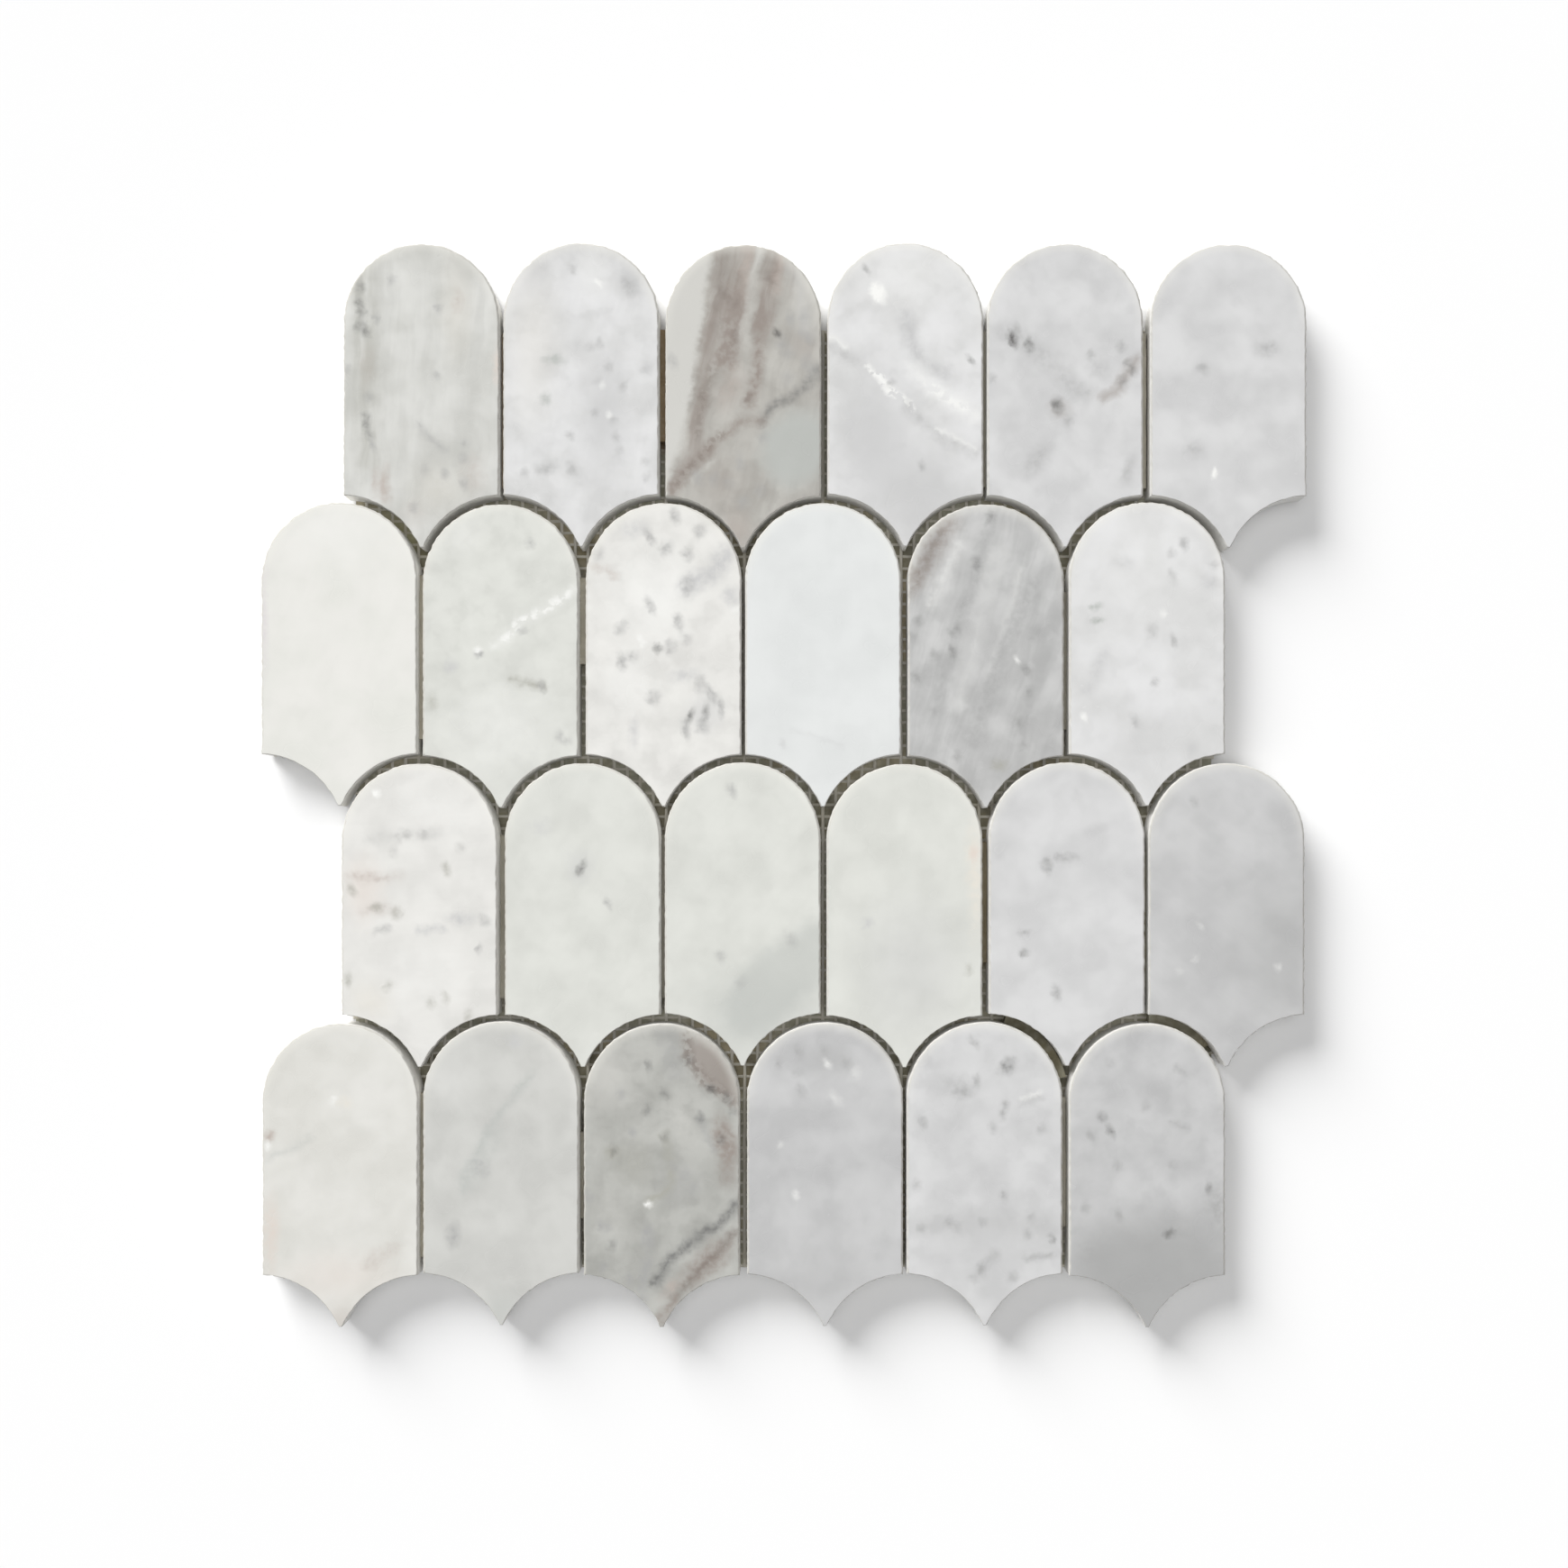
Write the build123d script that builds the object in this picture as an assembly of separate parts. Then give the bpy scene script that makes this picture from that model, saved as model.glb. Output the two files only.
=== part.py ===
"""Arch stone mosaic sheet: staggered rows of arched marble tiles bonded to an open glass-fibre mesh.

Sizes are in millimetres. The sheet lies flat with its polished face up and its arch tops towards +Y.
The origin is at the middle of the sheet's footprint, on the face that is bedded in tile adhesive.
Each tile has a half-round head, straight sides and a blunt-pointed tail between two scallops, and each
scallop fits round the head of a tile in the row below. The mesh is a laid scrim: warp yarns run up
the sheet against the tile backs, and weft yarns cross under them.
"""

import os
from math import cos, radians, sin, sqrt

from build123d import *

# Tile
tile_width = 44.9
tile_thickness = 10.0
tip_width = 0.9  # blunt end of the tail
arris = 0.6  # chamfer that eases the polished face's edge round the head and down the sides

# Laying pattern
row_count = 4
tiles_per_row = 6
row_pitch = 74.8
side_joint = 1.6  # between straight sides
arch_joint = 2.4  # between an arch and the scallops above it
laying_play = 0.3  # how far a hand-laid tile sits off its true place

# Mesh
warp_pitch = 3.8
weft_pitch = 3.45
yarn_width = 0.9
yarn_thickness = 0.3
mesh_inset = 1.0  # from the ends of a row to the mesh, so that none of it shows

# Worked out from the sizes above
tile_pitch = tile_width + side_joint
arch_radius = tile_width / 2
scallop_radius = arch_radius + arch_joint
side_length = row_pitch - sqrt(scallop_radius**2 - (side_joint / 2) ** 2)
tail_length = row_pitch - sqrt(scallop_radius**2 - (tile_pitch / 2 - tip_width / 2) ** 2)
tile_height = arch_radius + tail_length
sheet_height = (row_count - 1) * row_pitch + tile_height
mesh_thickness = 2 * yarn_thickness

GOLDEN_ANGLE = 137.508  # degrees; spreads the laying play evenly over all directions


def tile_outline():
    """The tile seen from above, with the centre of its arch at the origin."""
    head = Circle(arch_radius)
    shank = Pos(0, -tail_length / 2) * Rectangle(tile_width, tail_length)
    scallop = Circle(scallop_radius)
    outline = head + shank
    for side in (-1, 1):
        outline -= Pos(side * tile_pitch / 2, -row_pitch) * scallop
    return outline


def arch_tile():
    """One tile, lying on its sawn back, with the edge of its head and sides eased."""
    block = extrude(tile_outline(), tile_thickness)
    polished_face = block.faces().sort_by(Axis.Z)[-1]
    eased_edges = [edge for edge in polished_face.edges() if edge.center().Y > -side_length]
    return chamfer(eased_edges, arris)


def row_shift(row):
    """Every other row is set over by half a tile, so that the arches sit under the joints above."""
    return tile_pitch / 4 if row % 2 == 0 else -tile_pitch / 4


def tile_x(row, column):
    return (column - (tiles_per_row - 1) / 2) * tile_pitch + row_shift(row)


def row_span(row):
    """Where the mesh starts and stops under a row."""
    reach = tile_width / 2 - mesh_inset
    return tile_x(row, 0) - reach, tile_x(row, tiles_per_row - 1) + reach


def mesh_bands(arch_y):
    """(bottom, top, left, right) of each band of mesh, from the head of the sheet to its foot.

    A band under the straight sides is as wide as its row. A band between rows is as wide as what both
    rows share.
    """
    bands = []
    for row in range(row_count):
        left, right = row_span(row)
        corner_y = arch_y[row] - side_length
        bands.append((corner_y, arch_y[row], left, right))
        if row + 1 < row_count:
            next_left, next_right = row_span(row + 1)
            bands.append((arch_y[row + 1], corner_y, max(left, next_left), min(right, next_right)))
    return bands


def yarn_places(low, high, pitch):
    """Centres of the yarns from one edge of the mesh to the other, as near to the pitch as goes evenly."""
    first, last = low + yarn_width / 2, high - yarn_width / 2
    gaps = round((last - first) / pitch)
    return [first + (last - first) * i / gaps for i in range(gaps + 1)]


def warp_yarns(bands):
    """Yarns up the sheet. A yarn near the sheet's sides is interrupted where a row is set in."""
    yarns = []
    low, high = min(band[2] for band in bands), max(band[3] for band in bands)
    middle_z = mesh_thickness - yarn_thickness / 2
    for x in yarn_places(low, high, warp_pitch):
        runs = []
        for bottom, top, left, right in bands:
            if x - yarn_width / 2 < left or x + yarn_width / 2 > right:
                continue
            if runs and runs[-1][0] == top:
                runs[-1][0] = bottom
            else:
                runs.append([bottom, top])
        for bottom, top in runs:
            yarn = Box(yarn_width, top - bottom, yarn_thickness)
            yarns.append(Pos(x, (bottom + top) / 2, middle_z) * yarn)
    return yarns


def weft_yarns(bands):
    """Yarns across the sheet, each as long as the narrower band that it lies in."""
    yarns = []
    low, high = min(band[0] for band in bands), max(band[1] for band in bands)
    for y in yarn_places(low, high, weft_pitch):
        crossed = [band for band in bands if band[0] < y + yarn_width / 2 and band[1] > y - yarn_width / 2]
        left, right = max(band[2] for band in crossed), min(band[3] for band in crossed)
        yarn = Box(right - left, yarn_width, yarn_thickness)
        yarns.append(Pos((left + right) / 2, y, yarn_thickness / 2) * yarn)
    return yarns


tile = arch_tile()
arch_y = [sheet_height / 2 - arch_radius - row * row_pitch for row in range(row_count)]

os.makedirs("parts", exist_ok=True)
for row in range(row_count):
    for column in range(tiles_per_row):
        turn = radians(GOLDEN_ANGLE * (row * tiles_per_row + column))
        x = tile_x(row, column) + laying_play * cos(turn)
        y = arch_y[row] + laying_play * sin(turn)
        export_step(Pos(x, y, mesh_thickness) * tile, f"parts/arch_tile_row{row + 1}_col{column + 1}.step")

bands = mesh_bands(arch_y)
export_step(Compound(warp_yarns(bands)), "parts/mesh_warp_yarns.step")
export_step(Compound(weft_yarns(bands)), "parts/mesh_weft_yarns.step")
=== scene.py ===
"""Looks of the arch stone mosaic sheet: marble tiles on a glass-fibre mesh, with the glue that bonds them.

Lengths are in metres, as the frame's are. Marks in the stone are in millimetres on their own tile: u runs
to the right and v up the tile, from the centre of its arch.
"""

from math import cos, pi, radians, sin

import bmesh
import bpy
from mathutils import Matrix, Vector


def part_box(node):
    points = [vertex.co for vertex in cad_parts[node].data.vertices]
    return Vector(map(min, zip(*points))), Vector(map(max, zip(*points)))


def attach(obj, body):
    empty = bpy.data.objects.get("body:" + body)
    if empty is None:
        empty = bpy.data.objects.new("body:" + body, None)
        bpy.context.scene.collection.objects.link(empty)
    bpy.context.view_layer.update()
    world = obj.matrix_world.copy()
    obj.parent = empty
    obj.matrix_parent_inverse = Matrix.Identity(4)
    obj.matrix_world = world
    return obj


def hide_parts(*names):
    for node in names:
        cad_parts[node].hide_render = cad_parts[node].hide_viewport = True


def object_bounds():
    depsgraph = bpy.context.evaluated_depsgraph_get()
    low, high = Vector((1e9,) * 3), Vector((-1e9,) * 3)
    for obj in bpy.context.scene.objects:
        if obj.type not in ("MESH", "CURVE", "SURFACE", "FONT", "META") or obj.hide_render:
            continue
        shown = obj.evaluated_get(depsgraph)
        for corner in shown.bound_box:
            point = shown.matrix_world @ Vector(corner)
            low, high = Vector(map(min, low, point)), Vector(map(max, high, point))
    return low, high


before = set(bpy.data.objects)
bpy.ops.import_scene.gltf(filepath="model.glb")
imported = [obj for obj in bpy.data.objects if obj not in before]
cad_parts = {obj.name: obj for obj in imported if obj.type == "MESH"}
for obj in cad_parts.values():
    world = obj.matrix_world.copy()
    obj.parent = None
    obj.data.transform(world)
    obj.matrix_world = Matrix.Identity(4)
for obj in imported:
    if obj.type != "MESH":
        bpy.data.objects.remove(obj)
cad_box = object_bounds()

# Sizes of the sheet
MM = 0.001
ROWS = 4
COLUMNS = 6
SIDE_JOINT = 1.6 * MM
ARCH_JOINT = 2.4 * MM
ROW_PITCH = 74.8 * MM
NEARLY = 0.01 * MM  # two places closer than this count as one

tile_low, tile_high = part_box("arch_tile_row1_col1")
tile_width, tile_height, tile_thickness = tile_high - tile_low
arch_radius = tile_width / 2
tail_length = tile_height - arch_radius
tile_pitch = tile_width + SIDE_JOINT
scallop_radius = arch_radius + ARCH_JOINT

# Working of the tiles
EDGE_STEP = 0.7 * MM  # between points along the outline
WALL_CUTS = 5
ARRIS = 0.6 * MM
ARRIS_STEPS = 3
SCALLOP_SHARE = 0.36  # of the arris, along the scallops
BACK_ARRIS = 0.25 * MM
TILE_SMOOTHING = 40  # degrees between faces, up to which an edge is shaded as round
ROUND_SMOOTHING = 50  # the same for yarns and squeezed-up glue
WALL_WAVE = 0.08 * MM
CHIP_DEPTH = 0.18 * MM
OUTLINE_WANDER = 0.16 * MM
HIGHLIGHT_WIDTH = 3.4  # in mm, of the painted highlight round an arch
HIGHLIGHT_RISE = (-10, 12)  # in mm, where up the tile the painted highlight starts and is full
SAWING_DEPTH = 61.0  # in mm, how far apart in the block two tiles were cut
GOLDEN_SHARE = 0.618  # spreads uneven sizes and leans evenly
PATCH_SPREAD = 0.7  # in mm, how far a patch fades out past its size
VEIN_SPREAD = 0.25  # in mm, the same for a vein
SMOOTH_SIZE = 5  # in mm, half sizes over which a patch is smooth

# Finish of the stone
SAWN_DUST_AND_GLOW_COLOUR = (0.86, 0.85, 0.82, 1)  # stone dust on the sawn walls and back, its pale tone partly a painted glow of light through the stone
SAWN_TILT = (0.9, 0.4)  # upward share of a face's normal, where the dust and painted glow start and are full
SAWN_DUST_AND_GLOW_SHARE = 0.8  # how far the dust and painted glow hide the stone
# Painted shade: the ground arris takes a tone darker than most faces, standing in for the shade on its
# rounded edge
ARRIS_SHADE_TONE = (204, 202, 195)
ARRIS_TILT = (0.995, 0.93)  # the same for the ground arris with its painted shade, from the face
ARRIS_FOOT_TILT = (0.1, 0.5)  # and from the wall
ARRIS_SHADE_SHARE = 0.65
POLISH_ROUGHNESS = 0.2
CLOUD_ROUGHNESS = 0.08  # what cloudy stone adds
SAWN_ROUGHNESS = 0.55  # what sawing adds
FACE_GRAIN = 0.06
SAWN_GRAIN = 0.94
STONE_BUMP = 0.12 * MM
# Painted highlight: a pale tone laid round the top of each arch, standing in for light that comes through
# the edge of the stone
HIGHLIGHT_TONE = (249, 247, 239)
HIGHLIGHT_STRENGTH = 0.3
STREAK_FINENESS = (0.2, 0.022, 0.06)  # across the bed, along it and into the stone
STREAK_LEVELS = (0.36, 0.66)
DARK_STEP = 24  # levels from cloudy stone down to its dark mottling and streaks
PALE_STEP = 10  # levels from light stone up to its pale mottling

# Mesh and glue
WARP_PITCH = 3.8 * MM
WEFT_PITCH = 3.45 * MM
YARN_SIDES = 8
YARN_WANDER = 0.5 * MM
YARN_TONES = ((238, 233, 220), (255, 253, 246))
DULL_YARN_TONE = (214, 203, 172)
DULL_SHARE = 0.3
YARN_STAIN_AND_SHADE_SHARE = 0.5  # of the glue's stains and painted shade, that the yarns take up
FILAMENTS_ACROSS = 9.0  # how fine the filaments of a yarn are, and how long drawn
FILAMENTS_ALONG = 0.35
YARN_BUMP = 0.1 * MM
GLUE_CELL = 2.0 * MM
GLUE_LOW = 0.06 * MM
GLUE_THICKNESS = 0.14 * MM
BEAD_STEP = 2.5 * MM
ARCH_BEAD_HEIGHT = 4.5 * MM
BEAD_BITE = 0.2 * MM  # how far squeezed-up glue keys into the sawn walls
LUMP_SIZE = 8 * MM
LUMP_HEIGHT = 2.4 * MM
LUMP_LEVEL = 0.6  # of the lumps, at which a bead keeps its height
GLUE_RIPPLE = 0.1 * MM
GLUE_BUMP = 0.1 * MM
GLUE_TONES = ((208, 196, 166), (202, 200, 182))
GLUE_DAB_TONE = (166, 160, 140)
DAB_SHARE = 0.5
STAIN_AND_SHADE_REACH = 6  # in mm, to either side of a joint
STAIN_RUN_OUT = 4  # in mm, past the end of a bead
SHADED_CORNER_RISE = 8  # in mm, from an arch's centre up to the middle of a corner of painted shade, and half its height

# Camera, as read from the photograph
PHOTO_SIDE = 1740  # pixels
PIXELS_PER_MM = 3.854
SHEET_CENTRE_PIXEL = (869.6, 871)
VIEW_FOOT_PIXEL = (870, 945)  # straight below the camera
VIEW_HEIGHT = 590 * MM  # above the polished faces

# Light
SUN_HEIGHT = 27  # degrees above the floor
SUN_TURN = 35  # degrees from straight up the sheet to its left
SUN_SPREAD = 34  # degrees across, which sets how soft the shadows are
SUN_STRENGTH = 3.94
PANEL_SPREAD = 52  # degrees across, of the soft panel overhead
PANEL_STRENGTH = 0.9
SKY_STRENGTH = 0.3
LIGHT_GAIN = 1.115  # how much brighter a level surface shows than its own colour
POLISH_SHEEN = 0.0585  # what the panel and the sky add to a polished face
FLOOR_COLOUR = (0.86, 0.86, 0.86, 1)
FLOOR_SIZE = 8.0

# Colours of the glue, as they would show in full light
CHALK = (202, 196, 180)
PUTTY = (205, 200, 186)
RUST = (180, 161, 137)
OCHRE = (162, 142, 114)
UMBER = (163, 151, 125)
MOSS = (200, 196, 136)
OLIVE_GLUE = (165, 157, 115)
# Also the painted shade where three joints meet
PITCH = (104, 98, 80)

X, Y, Z = range(3)


def tone(red, green, blue):
    """The colour of a surface that shows as this 8-bit colour in the studio light."""
    shades = []
    for level in (red, green, blue):
        share = level / 255
        linear = share / 12.92 if share <= 0.04045 else ((share + 0.055) / 1.055) ** 2.4
        shades.append(max(linear - POLISH_SHEEN, 0) / LIGHT_GAIN)
    return (*shades, 1)


# Modelling by hand

def start_edit(piece):
    bpy.ops.object.select_all(action="DESELECT")
    piece.select_set(True)
    bpy.context.view_layer.objects.active = piece
    bpy.ops.object.mode_set(mode="EDIT")


def end_edit():
    bpy.ops.object.mode_set(mode="OBJECT")


def pick(piece, kind, wanted):
    """Selects the edges or faces that are wanted, and nothing else."""
    bpy.ops.mesh.select_mode(type={"edges": "EDGE", "faces": "FACE"}[kind])
    bpy.ops.mesh.select_all(action="DESELECT")
    shape = bmesh.from_edit_mesh(piece.data)
    for item in getattr(shape, kind):
        if wanted(item):
            item.select_set(True)
    shape.select_flush_mode()
    bmesh.update_edit_mesh(piece.data)


def lies_at(item, axis, value):
    return all(abs(vertex.co[axis] - value) < NEARLY for vertex in item.verts)


def runs_along(edge, axis):
    start, end = edge.verts
    return abs(abs(end.co[axis] - start.co[axis]) - edge.calc_length()) < NEARLY / 10


def apply_modifier(piece, modifier):
    bpy.context.view_layer.objects.active = piece
    bpy.ops.object.modifier_apply(modifier=modifier.name)


def clouds(name, size, contrast=1.0, brightness=1.0):
    texture = bpy.data.textures.new(name, "CLOUDS")
    texture.noise_scale = size
    texture.noise_depth = 2
    texture.contrast = contrast
    texture.intensity = brightness
    return texture


def displace(piece, texture, strength, middle, direction="NORMAL", group=""):
    bend = piece.modifiers.new("displace", "DISPLACE")
    bend.texture = texture
    bend.texture_coords = "GLOBAL"
    bend.strength = strength
    bend.mid_level = middle
    bend.direction = direction
    bend.vertex_group = group
    apply_modifier(piece, bend)


def join(pieces, name):
    bpy.ops.object.select_all(action="DESELECT")
    for piece in pieces:
        piece.select_set(True)
    bpy.context.view_layer.objects.active = pieces[0]
    bpy.ops.object.join()
    joined = bpy.context.object
    joined.name = joined.data.name = name
    return joined


def laid_copy(model, name, placing):
    """A copy of a model with its own mesh, put in its place."""
    mesh = model.data.copy()
    mesh.transform(placing)
    piece = model.copy()
    piece.data = mesh
    piece.name = mesh.name = name
    bpy.context.scene.collection.objects.link(piece)
    return piece


# Tiles

def cut_scallop(tile, side):
    cutter_points = round(2 * pi * scallop_radius / EDGE_STEP)
    centre = (side * tile_pitch / 2, -ROW_PITCH, tile_thickness / 2)
    bpy.ops.mesh.primitive_cylinder_add(
        vertices=cutter_points, radius=scallop_radius, depth=3 * tile_thickness, location=centre)
    cutter = bpy.context.object
    cut = tile.modifiers.new("scallop", "BOOLEAN")
    cut.operation = "DIFFERENCE"
    cut.object = cutter
    apply_modifier(tile, cut)
    bpy.data.objects.remove(cutter)


def ease_face(tile, side_length):
    """Rounds the edge of the polished face, less along the scallops than elsewhere."""
    shares = tile.data.attributes.new("bevel_weight_edge", "FLOAT", "EDGE")
    for edge in tile.data.edges:
        start, end = (tile.data.vertices[i].co for i in edge.vertices)
        if min(start.z, end.z) > tile_thickness - NEARLY:
            on_side = (start.y + end.y) / 2 > -side_length
            shares.data[edge.index].value = 1 if on_side else SCALLOP_SHARE
    easing = tile.modifiers.new("easing", "BEVEL")
    easing.limit_method = "WEIGHT"
    easing.width = ARRIS
    easing.segments = ARRIS_STEPS
    easing.use_clamp_overlap = False
    apply_modifier(tile, easing)


def model_tile():
    """One tile on its back at the origin, with the centre of its arch over the origin."""
    quarter_points = round(pi / 2 * arch_radius / EDGE_STEP)
    bpy.ops.object.select_all(action="DESELECT")
    bpy.ops.mesh.primitive_circle_add(vertices=4 * quarter_points, radius=arch_radius, fill_type="NGON")
    tile = bpy.context.object
    tile.name = "tile_model"

    start_edit(tile)
    bpy.ops.mesh.bisect(plane_co=(0, 0, 0), plane_no=(0, 1, 0), clear_inner=True)
    pick(tile, "edges", lambda edge: lies_at(edge, Y, 0))
    bpy.ops.mesh.extrude_edges_move(TRANSFORM_OT_translate={"value": (0, -tail_length, 0)})
    bpy.ops.mesh.select_all(action="SELECT")
    bpy.ops.mesh.extrude_region_move(TRANSFORM_OT_translate={"value": (0, 0, tile_thickness)})
    bpy.ops.mesh.select_all(action="SELECT")
    bpy.ops.mesh.normals_make_consistent(inside=False)
    end_edit()

    for side in (-1, 1):
        cut_scallop(tile, side)

    start_edit(tile)
    pick(tile, "edges", lambda edge: runs_along(edge, Y) and edge.calc_length() > arch_radius)
    side_length = max(
        edge.calc_length() for edge in bmesh.from_edit_mesh(tile.data).edges if edge.select)
    bpy.ops.mesh.subdivide(number_cuts=round(side_length / EDGE_STEP) - 1)
    pick(tile, "edges", lambda edge: all(abs(face.normal.z) > 0.99 for face in edge.link_faces))
    bpy.ops.mesh.dissolve_edges(use_verts=False)
    pick(tile, "edges", lambda edge: runs_along(edge, Z))
    bpy.ops.mesh.subdivide(number_cuts=WALL_CUTS)
    pick(tile, "edges", lambda edge: lies_at(edge, Z, 0))
    bpy.ops.mesh.bevel(offset=BACK_ARRIS, segments=1, affect="EDGES")
    end_edit()
    ease_face(tile, side_length)

    bpy.ops.object.shade_smooth_by_angle(angle=radians(TILE_SMOOTHING))
    start_edit(tile)
    pick(tile, "faces", lambda face: abs(face.normal.z) > 0.999)
    bpy.ops.mesh.faces_shade_flat()
    end_edit()

    top, arris_foot = tile_thickness - NEARLY, tile_thickness - ARRIS - NEARLY
    arris = [vertex.index for vertex in tile.data.vertices if arris_foot < vertex.co.z < top]
    wall = [vertex.index for vertex in tile.data.vertices if NEARLY < vertex.co.z <= arris_foot]
    tile.vertex_groups.new(name="arris").add(arris, 1, "ADD")
    tile.vertex_groups.new(name="wall").add(wall, 1, "ADD")
    return tile


def keep_inside(piece, low, high):
    for vertex in piece.data.vertices:
        for axis in (X, Y, Z):
            vertex.co[axis] = min(max(vertex.co[axis], low[axis]), high[axis])


def tile_place(node):
    """Centre of a tile's arch, at the height of its back."""
    low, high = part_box(node)
    return Vector(((low.x + high.x) / 2, high.y - arch_radius, low.z))


def make_tiles():
    model = model_tile()
    wander_x = clouds("outline_wander_across", 24 * MM)
    wander_y = clouds("outline_wander_along", 20 * MM)
    wall_wave = clouds("sawn_wall", 2.5 * MM)
    chips = clouds("arris_chips", 1.4 * MM, contrast=3.5, brightness=0.5)
    tiles = {}
    for row in range(1, ROWS + 1):
        for column in range(1, COLUMNS + 1):
            node = f"arch_tile_row{row}_col{column}"
            tile = laid_copy(model, f"marble_row{row}_col{column}", Matrix.Translation(tile_place(node)))
            displace(tile, wander_x, OUTLINE_WANDER, 0.5, "X")
            displace(tile, wander_y, OUTLINE_WANDER, 0.5, "Y")
            displace(tile, wall_wave, WALL_WAVE, 0.5, group="wall")
            displace(tile, chips, -CHIP_DEPTH, 0, group="arris")
            keep_inside(tile, *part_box(node))
            tiles[node] = tile
    bpy.data.objects.remove(model)
    return tiles


# Mesh

def yarn_runs(node, across, along):
    """(place across, start, end) of each yarn in a node of parallel yarns."""
    stops = {}
    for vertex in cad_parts[node].data.vertices:
        stops.setdefault(round(vertex.co[across], 6), set()).add(round(vertex.co[along], 6))
    sides = sorted(stops)
    runs = []
    for low_side, high_side in zip(sides[::2], sides[1::2]):
        ends = sorted(stops[low_side])
        runs += [((low_side + high_side) / 2, start, end) for start, end in zip(ends[::2], ends[1::2])]
    return runs


def model_strand(length, width, thickness, step):
    """A flattened yarn along Y, in short lengths that can wander."""
    bpy.ops.object.select_all(action="DESELECT")
    bpy.ops.mesh.primitive_cylinder_add(
        vertices=YARN_SIDES, radius=width / 2, depth=length, end_fill_type="NGON", rotation=(pi / 2, 0, 0))
    strand = bpy.context.object
    bpy.ops.object.transform_apply(rotation=True)
    start_edit(strand)
    bpy.ops.mesh.select_all(action="SELECT")
    bpy.ops.transform.resize(value=(1, 1, thickness / width), center_override=(0, 0, 0))
    pick(strand, "edges", lambda edge: runs_along(edge, Y))
    bpy.ops.mesh.subdivide(number_cuts=round(length / step) - 1)
    end_edit()
    bpy.ops.object.shade_smooth_by_angle(angle=radians(ROUND_SMOOTHING))
    return strand


def make_yarns(node, name, across, along, step, wander):
    low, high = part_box(node)
    runs = yarn_runs(node, across, along)
    width = 2 * (min(run[0] for run in runs) - low[across])
    thickness = high.z - low.z
    turn = Matrix.Rotation(pi / 2 if along == X else 0, 4, "Z")
    models, yarns = {}, []
    for place, start, end in runs:
        length = round(end - start, 5)
        if length not in models:
            models[length] = model_strand(length, width, thickness, step)
        middle = Vector((0, 0, (low.z + high.z) / 2))
        middle[across], middle[along] = place, (start + end) / 2
        yarns.append(laid_copy(models[length], name, Matrix.Translation(middle) @ turn))
    for model in models.values():
        bpy.data.objects.remove(model)
    piece = join(yarns, name)
    displace(piece, wander, YARN_WANDER, 0.5, "XYZ"[across])
    keep_inside(piece, low, high)
    return piece


def make_mesh():
    wander = clouds("yarn_wander", 9 * MM)
    warp = make_yarns("mesh_warp_yarns", "warp_yarns", X, Y, WEFT_PITCH, wander)
    weft = make_yarns("mesh_weft_yarns", "weft_yarns", Y, X, WARP_PITCH, wander)
    return warp, weft


# Glue

def make_glue():
    """A thin uneven film of glue over the mesh, as far as its weft yarns reach."""
    low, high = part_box("mesh_weft_yarns")
    runs = yarn_runs("mesh_weft_yarns", Y, X)
    reach = high - low

    def outside(face):
        centre = face.calc_center_median()
        _, left, right = min(runs, key=lambda run: abs(run[0] - centre.y))
        return not left < centre.x < right

    bpy.ops.object.select_all(action="DESELECT")
    bpy.ops.mesh.primitive_grid_add(
        x_subdivisions=round(reach.x / GLUE_CELL), y_subdivisions=round(reach.y / GLUE_CELL), size=1)
    glue = bpy.context.object
    start_edit(glue)
    bpy.ops.mesh.select_all(action="SELECT")
    bpy.ops.transform.resize(value=(reach.x, reach.y, 1), center_override=(0, 0, 0))
    middle = (low + high) / 2
    bpy.ops.transform.translate(value=(middle.x, middle.y, GLUE_LOW + GLUE_THICKNESS))
    pick(glue, "faces", outside)
    bpy.ops.mesh.delete(type="FACE")
    end_edit()
    displace(glue, clouds("glue_ripple", 4 * MM), GLUE_RIPPLE, 0.5, "Z")
    film = glue.modifiers.new("film", "SOLIDIFY")
    film.thickness = GLUE_THICKNESS
    apply_modifier(glue, film)
    bpy.ops.object.select_all(action="DESELECT")
    glue.select_set(True)
    bpy.context.view_layer.objects.active = glue
    bpy.ops.object.shade_smooth()
    return join([glue, *make_beads()], "bonding_glue")


# Squeezed-up glue: the tile to the left of a filled side joint, where the glue starts and stops on it and
# how high it stands, in mm, and its colour
SIDE_BEADS = (
    (1, 1, -2, -46, 5.0, RUST),
    (1, 2, -1, -33, 4.8, OCHRE),
    (1, 4, -2, -46, 5.6, PUTTY),
    (1, 5, -2, -46, 5.4, PUTTY),
    (2, 1, 2, -46, 7.0, CHALK),
    (2, 2, 2, -22, 5.3, CHALK),
    (2, 5, -2, -42, 4.3, PUTTY),
    (3, 1, 2, -46, 4.4, PUTTY),
    (3, 2, 2, -46, 5.3, PUTTY),
    (3, 4, 0, -34, 4.6, UMBER),
    (3, 5, -3, -42, 5.0, OLIVE_GLUE),
    (4, 1, 2, -46, 6.6, CHALK),
    (4, 2, -10, -36, 5.2, PUTTY),
    (4, 5, 0, -38, 4.2, PUTTY),
)
# The tile under a filled arch joint, and where the glue starts and stops round its arch, in degrees from
# the right
ARCH_BEADS = ((4, 5, 14, 74), (4, 6, 40, 86))


def joint_place(row, column):
    """Middle of the side joint to the right of a tile, level with the centre of its arch."""
    return tile_place(f"arch_tile_row{row}_col{column}") + Vector((tile_pitch / 2, 0, 0))


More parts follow.
